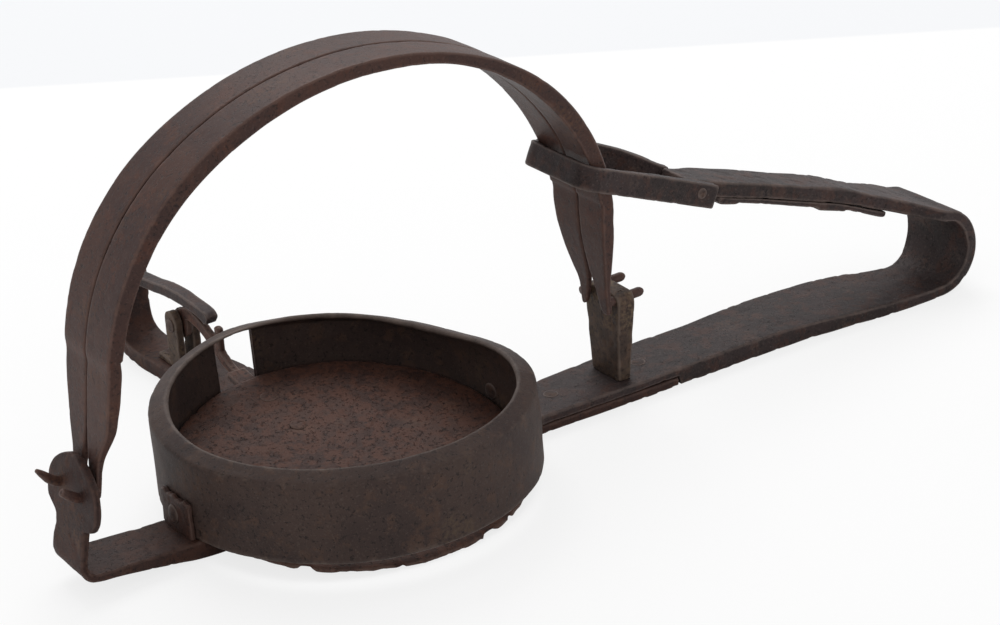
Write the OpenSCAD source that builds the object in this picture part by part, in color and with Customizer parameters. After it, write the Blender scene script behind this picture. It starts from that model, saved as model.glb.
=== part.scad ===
// Animal trap: hand-forged single-spring trap with a round pan in a collar, all in millimetres.
// Origin: centre of the collar on the ground. +X runs to the spring's bend, +Y to the catch, +Z up.

/* [Sole bar] */
// Thickness of the sole bar
sole_t = 6.4; // [4:0.1:10]
// Half width of the sole bar at its left end
sole_half_l = 9.2; // [6:0.1:14]
// Thickness of the left post
left_post_t = 2.5; // [2:0.1:5]
// Inward lean of the left post, degrees
left_post_lean = 11.5; // [0:0.5:20]
// Half width of the left post's neck
left_neck_half = 9.75; // [8:0.05:14]
// Half width of the left post's round head
left_head_half = 16.3; // [13.5:0.1:20]
// Half height of the left post's round head
left_head_h = 13.6; // [10:0.1:16]
// Height of the centre of the round head
left_head_z = 29.3; // [28:0.1:34]

/* [Pivots] */
// Distance of each jaw pivot from the centre plane
pivot_y = 6.8; // [6:0.1:9]
// X of the left post's outer face at the pivot
pin_x_left = -93.6; // [-100:0.1:-80]
// Height of the pivot at the left post
pin_z_left = 32.2; // [28:0.1:40]
// X at which the right pivot height is taken
pin_x_right = 105; // [98:0.1:112]
// Height of the pivot at the rear post
pin_z_right = 36; // [28:0.1:40]
// Radius of the jaw pins
pin_r = 1.6; // [1.2:0.05:1.8]
// Running clearance of the jaw pins
pin_gap = 0.06; // [0.02:0.01:0.1]
// Length of the bent spike on each left pin
spike_l = 8.6; // [4:0.1:14]
// Upward bend of the spike, degrees
spike_bend = 44; // [0:1:60]
// X of the right end of the jaw pins
pin_end_x = 111.5; // [109:0.1:116]

/* [Jaws] */
// Radius of the crown
crown_r = 108.3; // [90:0.1:130]
// Radius of the left haunch
haunch_r_left = 75; // [50:0.5:100]
// Radius of the right haunch
haunch_r_right = 70; // [50:0.5:100]
// X of the left leg's outer face at its top
leg_x_left = -82.6; // [-84:0.1:-80]
// Height of the left leg's top
leg_z_left = 73.3; // [66:0.1:78]
// X of the right leg's outer face at its top
leg_x_right = 97; // [95:0.1:98]
// Height of the right leg's top
leg_z_right = 71.5; // [66:0.1:78]
// Slope of the left leg from upright
leg_slope_left = 8.5; // [7:0.1:9.5]
// Slope of the right leg from upright
leg_slope_right = 2.8; // [1:0.1:4]
// Thickness of the jaw strap
jaw_t = 4.2; // [3:0.1:5]
// Thickness of the jaw's foot
foot_t = 2; // [1.6:0.1:4]
// Width of the jaw strap
jaw_w = 13.5; // [10:0.1:13.7]
// Gap between each shut jaw and the centre plane
jaw_split = 0.25; // [0.1:0.05:1]
// Half width of the jaw's foot
foot_half = 2.1; // [1.9:0.1:3]

/* [Rear post] */
// X of the rear post's front face
post_x = 100; // [99.5:0.1:104]
// Half width of the rear post at its foot
post_foot_half = 7.5; // [6:0.1:10]
// Half width of the rear post at the pivots
post_top_half = 9.3; // [9:0.1:12]
// Height of the rear post's top
post_top_z = 38.5; // [38.3:0.1:46]

/* [Collar] */
// Outer radius of the collar
collar_r = 60; // [50:0.5:70]
// Sheet thickness of the collar
collar_t = 2; // [1:0.1:3]
// Height of the collar's shoulder
collar_shoulder_z = 32.75; // [25:0.25:40]
// Inner radius of the lip
lip_r = 54; // [48:0.5:58]
// Height of the lip's edge
lip_z = 35.6; // [28:0.1:44]
// Left edge of the window
window_x0 = -15; // [-20:0.5:-10]
// Right edge of the window
window_x1 = 0; // [-4:0.5:4]
// Bottom of the window
window_z0 = 12.8; // [9:0.1:16]
// Top of the window
window_z1 = 32.2; // [20:0.1:32.2]
// Height of the collar lugs
lug_top_z = 19; // [14:0.5:24]
// Half width of the collar lugs
lug_half = 9; // [6:0.5:12]
// Thickness of the collar lugs
lug_t = 1.8; // [1:0.1:3]
// Radius of the collar rivets
collar_rivet_r = 1.6; // [1:0.1:2.5]

/* [Pan] */
// Radius of the pan plate
pan_r = 57; // [48:0.1:57.2]
// Thickness of the pan plate
pan_t = 1.4; // [1:0.1:2.5]
// Height of the pan's top at its centre
pan_z = 10.2; // [10:0.1:12]
// Tilt of the pan at rest, degrees
pan_tilt = 8.5; // [6:0.1:9]
// Height of the pan pivot
pan_pivot_z = 23; // [21:0.1:24]
// Y of the pan pivot
pan_pivot_y = 101; // [98:0.5:104]
// Radius of the pan pivot pin
pan_pin_r = 1.5; // [1:0.1:2]
// Running clearance of the pan pivot
pan_pin_gap = 0.06; // [0.02:0.01:0.1]
// Top of the pan's upright finger
finger_z = 30.6; // [28:0.1:31]

/* [Cross arm and catch] */
// Thickness of the cross arm
cross_t = 6; // [4:0.1:8]
// Inner face of the upturned end
upright_y = 138; // [134:0.5:145]
// Thickness of the upturned end
upright_t = 5; // [4:0.1:7]
// Height of the upturned end
upright_z = 35; // [32:0.5:40]
// Centre line of the trigger parts
till_x = -4; // [-8:0.5:0]
// Height of the catch hinge
catch_z = 30; // [28:0.1:31]
// Y of the catch's tip
catch_tip_y = 77.9; // [77.8:0.1:80]
// Radius of the catch pin
catch_pin_r = 1.3; // [1:0.1:2]
// Running clearance of the catch pin
catch_pin_gap = 0.06; // [0.02:0.01:0.1]

/* [Spring] */
// Thickness of the lower leg near the collar
leg_t = 6.6; // [5:0.1:8]
// Thickness of the lower leg at the bend
leg_t_end = 3.3; // [2.5:0.1:5]
// Outer radius of the bend
bend_r = 16.5; // [12:0.5:22]
// X of the bend's centre
bend_x = 232.5; // [220:0.5:245]
// Thickness of the upper arm
arm_t = 5.6; // [4:0.1:7]
// Slope of the upper arm, degrees
arm_slope = 20; // [15:0.5:25]
// Length of the upper arm
arm_l = 114; // [110:0.5:118]
// Rise of the upper arm's middle above its straight line
arm_rise = 2.2; // [0:0.1:4]
// Half width of the upper arm
arm_half = 9; // [7:0.1:12]
// Slope of the eye, degrees
eye_slope = 23; // [18:0.5:28]
// X of the eye's left end
eye_x = 86.6; // [84:0.1:86.8]
// Height of the eye's bar
eye_h = 8; // [6:0.1:9]
// Thickness of the under leaf
leaf_t = 2.6; // [2:0.1:4]

/* [Hidden] */
$fn = 64;
pin_rise = atan((pin_z_right - pin_z_left) / (pin_x_right - pin_x_left));
pin_hole_r = pin_r + pin_gap;
bend_y0 = -17.4;
bend_y1 = 8.2;
lap_x0 = 66;
lap_x1 = 122;
lap_z = sole_t / 2;
lug_y_right = 4.9;
lug_rivet_z = 12.5;
lug_angle = asin(lug_half / collar_r);
post_back_foot = post_x + 5.3;
post_back_top = post_x + 7.3;
tenon_x0 = post_x + 0.8;
tenon_x1 = post_x + 4.6;
tenon_half = 4.5;
lap_rivet_x = [78, 114];
lap_rivet_r = 2.2;
cross_half = 7;
cross_rivet_r = 1.9;
ear_t = 3;
slot_w = 2.7;
ear_half = 4.1;
ear_shift = 0.5;
fin_eye_r = 5.2;
bracket_x0 = till_x + 0.35 - slot_w / 2 - ear_t;
bracket_x1 = till_x + 0.35 + slot_w / 2 + ear_t;
bracket_base_t = 2;
bracket_rivet_y = [pan_pivot_y - 10.5, pan_pivot_y + 10.5];
bracket_rivet_r = 1.5;
fin_t = 2.4;
fin_x0 = till_x + 0.35 - fin_t / 2;
strip_half = 3.5;
strip_t = 2.6;
catch_w = 5;
slot_catch_w = 5.6;
hole_pan_r = pan_pin_r + pan_pin_gap;
hole_catch_r = catch_pin_r + catch_pin_gap;
arm_x0 = bend_x + bend_r * sin(arm_slope);
arm_z0 = bend_r + bend_r * cos(arm_slope);
arm_end_x = arm_x0 - arm_l * cos(arm_slope);
arm_end_z = arm_z0 + arm_l * sin(arm_slope);
// Height of the arm's middle above its straight line: share of the length, share of the rise
arm_crown = [[0, 0], [0.1, 0.18], [0.21, 0.43], [0.3, 0.77], [0.38, 1], [0.55, 0.77], [0.71, 0.55],
    [0.82, 0.22], [1, 0]];
arm_line = [for (p = arm_crown) [-arm_l * p[0], arm_rise * p[1]]];
// Thickness of the under leaf along its length: share of the arm's length, share of the thickness
leaf_line = [[0.167, 0], [0.175, 1], [0.316, 1], [0.325, 1.45], [0.36, 1.4], [0.395, 1], [0.78, 1],
    [0.79, 1.3], [0.825, 1.25], [0.86, 0.75], [0.861, 0]];
leaf_rivet_x = [-0.7 * arm_l, -0.456 * arm_l];
leaf_rivet_r = 1.8;
eye_bar = 4;
eye_wall = 2.6;
eye_drop = 0.9;
eye_lap = 5.2;
eye_top_step = 0.25;
eye_z = arm_end_z + eye_top_step + (arm_end_x - eye_x) * tan(eye_slope);
eye_l = (arm_end_x - eye_x) / cos(eye_slope);
eye_rivet_x = arm_end_x + 4;
eye_rivet_z = arm_end_z - 4 * tan(arm_slope) - arm_t / 2 / cos(arm_slope);
eye_rivet_r = 1.5;
// Centres of the haunches, from the tops of the straight legs
haunch_xl = leg_x_left + haunch_r_left * cos(leg_slope_left);
haunch_zl = leg_z_left - haunch_r_left * sin(leg_slope_left);
haunch_xr = leg_x_right - haunch_r_right * cos(leg_slope_right);
haunch_zr = leg_z_right - haunch_r_right * sin(leg_slope_right);
// Centre of the crown, where it meets both haunches smoothly
haunch_d = norm([haunch_xr - haunch_xl, haunch_zr - haunch_zl]);
haunch_turn = atan2(haunch_zr - haunch_zl, haunch_xr - haunch_xl);
crown_to_left = crown_r - haunch_r_left;
crown_to_right = crown_r - haunch_r_right;
crown_along = (pow(crown_to_left, 2) - pow(crown_to_right, 2) + pow(haunch_d, 2)) / 2 / haunch_d;
crown_below = sqrt(pow(crown_to_left, 2) - pow(crown_along, 2));
crown_x = haunch_xl + crown_along * cos(haunch_turn) + crown_below * sin(haunch_turn);
crown_z = haunch_zl + crown_along * sin(haunch_turn) - crown_below * cos(haunch_turn);
crown_a_left = atan((crown_x - haunch_xl) / (haunch_zl - crown_z));
crown_a_right = atan((haunch_xr - crown_x) / (haunch_zr - crown_z));
foot_xl = leg_x_left - (leg_z_left - pin_z_left) * tan(leg_slope_left);
foot_xr = leg_x_right + (leg_z_right - pin_z_right) * tan(leg_slope_right);
pin_out = 1.3;

function arc(cx, cy, r, a0, a1, n) =
    [for (i = [0:n]) [cx + r * cos(a0 + (a1 - a0) * i / n), cy + r * sin(a0 + (a1 - a0) * i / n)]];

// Puts a shape drawn along +Z on a jaw's pivot line, with 0 at the left post's outer face
module on_pivot(y) {
    translate([pin_x_left, y, pin_z_left]) rotate([0, 90 - pin_rise, 0]) children();
}

// Extrudes an outline drawn in Y and Z along X
module along_x(x0, x1) {
    translate([x0, 0, 0]) rotate([90, 0, 90]) linear_extrude(height = x1 - x0) children();
}

// Extrudes an outline drawn in X and Z along Y
module along_y(y0, y1) {
    translate([0, y1, 0]) rotate([90, 0, 0]) linear_extrude(height = y1 - y0) children();
}

module pin_holes() {
    on_pivot(-pivot_y) translate([0, 0, -12]) cylinder(r = pin_hole_r, h = 240);
    on_pivot(pivot_y) translate([0, 0, -12]) cylinder(r = pin_hole_r, h = 240);
}

module lap_outline() {
    polygon([[lap_x0, -10.9], [84, -11.3], [107, -12], [lap_x1, -12.1],
        [lap_x1, 13.6], [118, 13.3], [80, 11.7], [lap_x0, 10.9]]);
}

module lap_rivet_holes() {
    for (x = lap_rivet_x) translate([x, 0, -1]) cylinder(r = lap_rivet_r, h = leg_t + 2);
}

module post_tenon(z0, z1) {
    translate([tenon_x0, -tenon_half, z0]) cube([tenon_x1 - tenon_x0, 2 * tenon_half, z1 - z0]);
}

module lug_tenon(x0, y) {
    translate([x0, y - 3, 3.4]) cube([1, 6, sole_t - 2.4]);
}

// The left post's neck and head, with 0 at the height of the pins
module left_post_outline() {
    zh = left_head_z - pin_z_left;
    head = [for (a = [-15:8:209]) [left_head_half * cos(a) - 0.4, zh + left_head_h * sin(a)]];
    polygon(concat(head, [[-left_neck_half - 3.2, zh - 7.9], [-left_neck_half - 1.2, zh - 8.7],
        [-left_neck_half, zh - 8.9], [-left_neck_half, -20.4], [left_neck_half - 0.5, -20.4],
        [left_neck_half - 0.7, zh - 14], [left_neck_half - 1.8, zh - 10.1],
        [left_neck_half - 1.7, zh - 7.9], [left_neck_half - 0.1, zh - 6.3],
        [left_neck_half + 2.9, zh - 5.1]]));
}

module sole_bar() {
    slope = tan(left_post_lean);
    inner = left_post_t / cos(left_post_lean);
    color([0.23, 0.18, 0.16]) difference() {
        union() {
            linear_extrude(height = sole_t) polygon([[-56, -sole_half_l], [lap_x0, -10.9],
                [lap_x0, 10.9], [-56, sole_half_l]]);
            linear_extrude(height = lap_z) lap_outline();
            along_y(-sole_half_l, sole_half_l) polygon([[-56, 0], [-67.7, 1.8], [-81.5, 3.9],
                [-93.6, 5.8], [-96.4, 6.7], [-97.8, 8.2],
                [pin_x_left - (pin_z_left - 10.5) * slope, 10.5],
                [pin_x_left - (pin_z_left - 16) * slope, 16],
                [pin_x_left - (pin_z_left - 16) * slope + inner, 16],
                [pin_x_left - (pin_z_left - 11.4) * slope + inner, 11.4],
                [-94.3, 9.3], [-92.6, 8.4], [-87, 7.8], [-81, 7.7], [-72, 6.9],
                [-62, sole_t - 0.2], [-56, sole_t]]);
            translate([pin_x_left, 0, pin_z_left]) rotate([0, left_post_lean, 0])
                along_x(0, left_post_t) left_post_outline();
        }
        pin_holes();
        lap_rivet_holes();
        post_tenon(-1, leg_t + 1);
        lug_tenon(-collar_r - 1.2, 0);
        lug_tenon(collar_r + 0.2, lug_y_right);
        translate([-20, -cross_half, lap_z]) cube([40, 30, sole_t]);
        cross_rivet_holes();
    }
}

module rear_post() {
    color([0.3, 0.24, 0.19]) difference() {
        union() {
            intersection() {
                along_y(-20, 20) polygon([[post_x, leg_t], [post_back_foot, leg_t],
                    [post_back_top, 35], [post_back_top - 0.4, post_top_z], [post_x, post_top_z]]);
                along_x(post_x - 1, post_back_top + 1) polygon([[-post_foot_half, leg_t],
                    [post_foot_half, leg_t], [post_top_half - 0.4, 30], [post_top_half, 35],
                    [post_top_half - 0.2, 37], [post_top_half - 1.2, post_top_z - 0.4],
                    [post_top_half - 3, post_top_z], [3 - post_top_half, post_top_z],
                    [1.2 - post_top_half, post_top_z - 0.4], [0.2 - post_top_half, 37],
                    [-post_top_half, 35], [0.4 - post_top_half, 30]]);
            }
            post_tenon(0, leg_t);
        }
        pin_holes();
    }
}

module spring_lower_leg() {
    color([0.26, 0.19, 0.16]) difference() {
        intersection() {
            linear_extrude(height = 10) polygon([[lap_x0, -10.9], [84, -11.3], [107, -12],
                [lap_x1, -12.1], [160, -12.3], [175, -13], [192, -14.8], [209, -16.4],
                [219, -16.9], [bend_x, bend_y0], [bend_x, bend_y1], [228, 8.5], [221, 10.6],
                [215, 13.8], [207, 15.2], [199, 15.7], [190, 15.8], [178, 15.6], [165, 15],
                [152, 13.6], [142, 13.1], [lap_x1, 13.6], [118, 13.3], [80, 11.7],
                [lap_x0, 10.9]]);
            along_y(-30, 30) polygon([[lap_x0, lap_z], [lap_x0, leg_t], [150, leg_t],
                [bend_x, leg_t_end], [bend_x, 0], [lap_x1, 0], [lap_x1, lap_z]]);
        }
        lap_rivet_holes();
        post_tenon(-1, leg_t + 1);
    }
}

module spring_bend() {
    n = 28;
    color([0.22, 0.18, 0.17]) intersection() {
        along_y(-30, 30) polygon(concat(arc(bend_x, bend_r, bend_r, -90, 90 - arm_slope, n),
            [for (i = [n:-1:0])
                let (a = -90 + (180 - arm_slope) * i / n,
                    t = leg_t_end + (arm_t - leg_t_end) * i / n)
                [bend_x + (bend_r - t) * cos(a), bend_r + (bend_r - t) * sin(a)]]));
        along_x(bend_x - 5, bend_x + bend_r + 2) polygon([[bend_y0, -1],
            [bend_y0, leg_t_end], [-18.2, 20], [-18, 35], [14.4, 35], [12.6, 20],
            [bend_y1, leg_t_end], [bend_y1, -1]]);
    }
}

module lap_rivets() {
    color([0.24, 0.19, 0.17]) for (x = lap_rivet_x)
        translate([x, 0, 0]) cylinder(r = lap_rivet_r, h = leg_t);
}

module cross_rivet_holes() {
    for (p = [[-11, -3.6], [11, 3.6]]) translate([p[0], p[1], -1])
        cylinder(r = cross_rivet_r, h = sole_t + 2);
}

module cross_arm() {
    color([0.27, 0.19, 0.16]) difference() {
        union() {
            translate([0, 0, lap_z]) linear_extrude(height = sole_t - lap_z)
                polygon([[-20, -cross_half], [20, -cross_half], [19, 12.4], [-15.5, 12.4]]);
            linear_extrude(height = cross_t) polygon([[-15.6, 10.9], [19.2, 10.9], [15, 52],
                [13.3, 80], [12.7, 87], [10.6, 98], [6.4, upright_y - 25],
                [3, upright_y - 8], [2, upright_y + upright_t],
                [-11.8, upright_y + upright_t], [-11.8, upright_y - 3], [-9.9, upright_y - 27],
                [-11.4, 60]]);
            intersection() {
                translate([-11.8, upright_y, cross_t - 1]) cube([13.8, upright_t, upright_z]);
                along_y(upright_y - 1, upright_y + upright_t + 1) polygon(concat(
                    [[-12, 0], [2.2, 0]],
                    arc(-4.9, upright_z - 7, 7, 0, 180, 14), [[-12, 0]]));
            }
        }
        cross_rivet_holes();
        for (y = bracket_rivet_y) translate([till_x, y, -1])
            cylinder(r = bracket_rivet_r, h = cross_t + 2);
        translate([till_x - slot_catch_w / 2, upright_y - 1, catch_z - 6])
            cube([slot_catch_w, upright_t + 2, 20]);
        translate([-20, upright_y + upright_t / 2, catch_z]) rotate([0, 90, 0])
            cylinder(r = catch_pin_r, h = 40);
    }
}

module cross_arm_rivets() {
    color([0.24, 0.19, 0.17]) for (p = [[-11, -3.6], [11, 3.6]])
        translate([p[0], p[1], 0]) cylinder(r = cross_rivet_r, h = sole_t);
}

module collar_rivet_holes() {
    translate([-collar_r - 5, 0, lug_rivet_z]) rotate([0, 90, 0]) cylinder(r = collar_rivet_r, h = 10);
    translate([collar_r - 5, lug_y_right, lug_rivet_z]) rotate([0, 90, 0])
        cylinder(r = collar_rivet_r, h = 10);
}

module collar() {
    color([0.28, 0.22, 0.19]) difference() {
        rotate_extrude($fn = 180) polygon([[collar_r - collar_t, sole_t], [collar_r, sole_t],
            [collar_r, collar_shoulder_z], [lip_r + 0.7, lip_z + 0.3], [lip_r - 0.1, lip_z - 0.2],
            [lip_r - 0.5, lip_z - 1.4], [collar_r - collar_t, collar_shoulder_z - 1.3]]);
        translate([window_x0, 50, window_z0])
            cube([window_x1 - window_x0, 20, window_z1 - window_z0]);
        collar_rivet_holes();
    }
}

module lug_ring(a) {
    rotate([0, 0, a - lug_angle]) rotate_extrude(angle = 2 * lug_angle, $fn = 180)
        polygon([[collar_r, sole_t], [collar_r + lug_t, sole_t],
            [collar_r + lug_t, lug_top_z - 0.8], [collar_r + lug_t - 0.8, lug_top_z],
            [collar_r, lug_top_z]]);
}

module collar_lug_left() {
    color([0.26, 0.2, 0.18]) difference() {
        union() {
            lug_ring(180);
            lug_tenon(-collar_r - 1.2, 0);
        }
        collar_rivet_holes();
    }
}

module collar_lug_right() {
    color([0.26, 0.2, 0.18]) difference() {
        union() {
            lug_ring(atan(lug_y_right / collar_r));
            lug_tenon(collar_r + 0.2, lug_y_right);
        }
        collar_rivet_holes();
    }
}

module collar_rivet(side, y) {
    intersection() {
        translate([side * 60 - 5, y, lug_rivet_z]) rotate([0, 90, 0])
            cylinder(r = collar_rivet_r, h = 10);
        difference() {
            cylinder(r = collar_r + lug_t, h = 40, $fn = 180);
            translate([0, 0, -1]) cylinder(r = collar_r - collar_t, h = 42, $fn = 180);
        }
    }
    difference() {
        translate([side * (collar_r + lug_t + 0.2) - 1.2, y, lug_rivet_z]) rotate([0, 90, 0])
            cylinder(r = 3, h = 2.4);
        translate([0, 0, -1]) cylinder(r = collar_r + lug_t, h = 42, $fn = 180);
    }
    intersection() {
        translate([side * (collar_r - collar_t - 0.2) - 0.5, y, lug_rivet_z]) rotate([0, 90, 0])
            cylinder(r = 2.8, h = 1);
        cylinder(r = collar_r - collar_t, h = 40, $fn = 180);
    }
}

module collar_rivets() {
    color([0.24, 0.2, 0.18]) {
        collar_rivet(-1, 0);
        collar_rivet(1, lug_y_right);
    }
}

module pan_bracket() {
    z0 = cross_t + bracket_base_t;
    color([0.27, 0.22, 0.18]) difference() {
        union() {
            translate([bracket_x0, pan_pivot_y - 14, cross_t])
                cube([bracket_x1 - bracket_x0, 28, bracket_base_t]);
            for (x = [bracket_x0, bracket_x1 - ear_t]) {
                translate([x, pan_pivot_y + ear_shift - ear_half, cross_t])
                    cube([ear_t, 2 * ear_half, pan_pivot_z + 0.9 - cross_t]);
                translate([x, pan_pivot_y + ear_shift, pan_pivot_z + 0.9]) rotate([0, 90, 0])
                    cylinder(r = ear_half, h = ear_t);
            }
        }
        translate([bracket_x0 - 1, pan_pivot_y, pan_pivot_z]) rotate([0, 90, 0])
            cylinder(r = pan_pin_r, h = bracket_x1 - bracket_x0 + 2);
        for (y = bracket_rivet_y) translate([till_x, y, 0])
            cylinder(r = bracket_rivet_r, h = z0 + 2);
    }
}

module bracket_rivets() {
    z0 = cross_t + bracket_base_t;
    color([0.24, 0.19, 0.17]) for (y = bracket_rivet_y) {
        translate([till_x, y, 0]) cylinder(r = bracket_rivet_r, h = z0);
        translate([till_x, y, z0]) cylinder(r1 = 2.8, r2 = 1.6, h = 1.3);
    }
}

module pan_pivot_pin() {
    color([0.25, 0.2, 0.17]) translate([bracket_x0, pan_pivot_y, pan_pivot_z]) rotate([0, 90, 0]) {
        cylinder(r = pan_pin_r, h = bracket_x1 - bracket_x0);
        translate([0, 0, -1.2]) cylinder(r1 = 1.9, r2 = 2.6, h = 1.2);
        translate([0, 0, bracket_x1 - bracket_x0]) cylinder(r1 = 2.6, r2 = 1.9, h = 1.2);
    }
}

module catch_pin() {
    color([0.25, 0.2, 0.17]) translate([-11.8, upright_y + upright_t / 2, catch_z])
        rotate([0, 90, 0]) {
            cylinder(r = catch_pin_r, h = 13.8);
            translate([0, 0, -1]) cylinder(r1 = 1.7, r2 = 2.2, h = 1);
            translate([0, 0, 13.8]) cylinder(r1 = 2.2, r2 = 1.7, h = 1);
        }
}

module on_arm() {
    translate([arm_x0, 0, arm_z0]) rotate([0, arm_slope, 0]) children();
}

module leaf_rivet_holes() {
    on_arm() for (x = leaf_rivet_x) translate([x, 0, -20]) cylinder(r = leaf_rivet_r, h = 30);
}

module eye_rivet_hole() {
    translate([eye_rivet_x, -4, eye_rivet_z]) rotate([90, 0, 0]) cylinder(r = eye_rivet_r, h = 20);
}

function lowered(points, d) = [for (p = points) [p[0], p[1] - d]];

function reversed(points) = [for (i = [len(points) - 1:-1:0]) points[i]];

function arm_top(x) = lookup(x, arm_line);

module spring_upper_arm() {
    notch_x = eye_lap + 0.4 - arm_l;
    color([0.27, 0.21, 0.19]) difference() {
        on_arm() intersection() {
            translate([0, 0, -10]) linear_extrude(height = 20) polygon([[0, -18], [0, 14.4],
                [-6, 14.6], [-12, 13.6], [-18, 11.2], [-25, arm_half], [notch_x, arm_half],
                [notch_x, arm_half - eye_bar], [-arm_l, arm_half - eye_bar],
                [-arm_l, -arm_half], [-24, -arm_half], [-17, -10.8], [-9, -15]]);
            along_y(-30, 30) polygon(concat(arm_line, reversed(lowered(arm_line, arm_t))));
        }
        leaf_rivet_holes();
        eye_rivet_hole();
    }
}

// The eye seen from above: its length lies along the slope, from the end wall to the arm
module eye_plan() {
    e = eye_l;
    near = -arm_half - eye_bar;
    difference() {
        polygon(concat([[0, 12], [0, -12]], arc(4.5, -12.5, 4.5, 190, 262, 5),
            [[0.29 * e, -16.2], [0.66 * e, -14.6], [0.87 * e, near - 0.6], [e + 1.7, near],
            [e + 8.2, near], [e + 9.2, near + 1], [e + 9.2, -arm_half], [e + eye_lap, -arm_half],
            [e + eye_lap, arm_half], [e + 3.7, arm_half], [0.93 * e, 14.2], [0.8 * e, 19.6],
            [0.64 * e, 22.4], [0.47 * e, 22.2], [0.31 * e, 20.4]],
            arc(4.5, 13.5, 4.5, 90, 170, 5)));
        polygon([[eye_wall, 14.1], [eye_wall, -14.1], [0.33 * e, -14], [0.4 * e, -12.6],
            [0.66 * e, -10.7], [0.87 * e, -arm_half - 0.4], [e + 1.7, -arm_half],
            [e + 12, -arm_half], [e + 12, arm_half - eye_bar], [0.99 * e, arm_half - eye_bar],
            [0.87 * e, 11], [0.76 * e, 16.2], [0.63 * e, 18.6], [0.47 * e, 18.3],
            [0.31 * e, 16.5], [8, 14.9]]);
    }
}

module spring_eye() {
    color([0.26, 0.21, 0.19]) difference() {
        translate([eye_x, 0, eye_z]) rotate([0, eye_slope, 0]) intersection() {
            translate([0, 0, -eye_h]) linear_extrude(height = eye_h) eye_plan();
            along_y(-30, 30) polygon([[-1, -eye_h], [-1, -eye_drop], [eye_wall, -eye_drop],
                [10, 0], [eye_l + 12, 0], [eye_l + 12, -eye_h]]);
        }
        eye_rivet_hole();
    }
}

module eye_rivet() {
    color([0.24, 0.2, 0.18]) {
        translate([eye_rivet_x, -4, eye_rivet_z]) rotate([90, 0, 0])
            cylinder(r = eye_rivet_r, h = 9);
        translate([eye_rivet_x, -13, eye_rivet_z]) rotate([90, 0, 0])
            cylinder(r1 = 2.5, r2 = 1.5, h = 0.8);
    }
}

module spring_under_leaf() {
    x0 = -leaf_line[0][0] * arm_l;
    x1 = -leaf_line[len(leaf_line) - 1][0] * arm_l;
    against = concat([[x0, arm_top(x0)]], [for (p = arm_line) if (p[0] < x0 && p[0] > x1) p],
        [[x1, arm_top(x1)]]);
    under = [for (p = leaf_line)
        [-p[0] * arm_l, arm_top(-p[0] * arm_l) - arm_t - leaf_t * p[1]]];
    color([0.19, 0.15, 0.14]) difference() {
        on_arm() along_y(-arm_half + 0.5, arm_half - 0.5) polygon(concat(
            reversed(lowered(against, arm_t)),
            [for (i = [1:len(under) - 2]) under[i]]));
        leaf_rivet_holes();
    }
}

module leaf_rivets() {
    color([0.24, 0.19, 0.17]) on_arm() for (x = leaf_rivet_x) {
        low = arm_top(x) - arm_t - leaf_t;
        translate([x, 0, low - 0.4]) cylinder(r = leaf_rivet_r, h = arm_t + leaf_t + 0.3);
        translate([x, 0, low - 1.4]) cylinder(r1 = 2, r2 = 3.1, h = 1);
    }
}

module arch_outline() {
    t = jaw_t;
    polygon(concat([[foot_xl, 24], [foot_xl, pin_z_left]],
        arc(haunch_xl, haunch_zl, haunch_r_left, 180 - leg_slope_left, 90 + crown_a_left, 12),
        arc(crown_x, crown_z, crown_r, 90 + crown_a_left - 2, 92 - crown_a_right, 28),
        arc(haunch_xr, haunch_zr, haunch_r_right, 90 - crown_a_right, leg_slope_right, 12),
        [[foot_xr, pin_z_right], [foot_xr, 28], [foot_xr - foot_t, 28],
        [foot_xr - foot_t, pin_z_right]],
        arc(haunch_xr, haunch_zr, haunch_r_right - t, leg_slope_right, 90 - crown_a_right, 12),
        arc(crown_x, crown_z, crown_r - t, 92 - crown_a_right, 90 + crown_a_left - 2, 28),
        arc(haunch_xl, haunch_zl, haunch_r_left - t, 90 + crown_a_left, 180 - leg_slope_left, 12),
        [[foot_xl + foot_t, pin_z_left], [foot_xl + foot_t, 24]]));
}

// The strap seen along its length: it narrows from its full width to a round foot at the pin
module strap_outline(zp) {
    full = jaw_split + jaw_w;
    top = crown_z + crown_r + 1;
    foot_y = pivot_y + foot_half;
    polygon(concat(arc(pivot_y, zp, foot_half, 180, 360, 12),
        [[foot_y + 0.3, zp + 8], [foot_y + 1.3, zp + 14], [foot_y + 2.3, zp + 19],
        [full - 0.8, zp + 28], [full, zp + 38], [full, top], [jaw_split, top],
        [jaw_split, zp + 24], [pivot_y - foot_half - 0.6, zp + 8]]));
}

module far_jaw_shape() {
    zl = pin_z_left + (foot_xl + foot_t / 2 - pin_x_left) * tan(pin_rise);
    zr = pin_z_left + (foot_xr - foot_t / 2 - pin_x_left) * tan(pin_rise);
    left_in = foot_xl + 0.8 * foot_t - pin_x_left;
    right_in = foot_xr - 0.8 * foot_t - pin_x_left;
    right_out = pin_end_x - pin_x_left;
    intersection() {
        along_y(-1, 20) arch_outline();
        union() {
            along_x(-100, crown_x + 1) strap_outline(zl);
            along_x(crown_x, 110) strap_outline(zr);
        }
    }
    on_pivot(pivot_y) {
        translate([0, 0, -pin_out]) cylinder(r = pin_r, h = pin_out + left_in);
        translate([0, 0, 0.5 - pin_out]) rotate([0, 180 + spike_bend, 0])
            cylinder(r1 = pin_r - 0.1, r2 = 0.5, h = spike_l);
        translate([0, 0, right_in]) cylinder(r = pin_r, h = right_out - right_in);
        translate([0, 0, right_out - 0.3]) cylinder(r1 = pin_r - 0.1, r2 = pin_r - 0.7, h = 1.1);
    }
}

module near_jaw() {
    color([0.29, 0.23, 0.2]) mirror([0, 1, 0]) far_jaw_shape();
}

module far_jaw() {
    color([0.27, 0.22, 0.19]) far_jaw_shape();
}

module on_pan() {
    translate([0, 0, pan_z]) rotate([pan_tilt, 0, 0]) children();
}

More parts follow.
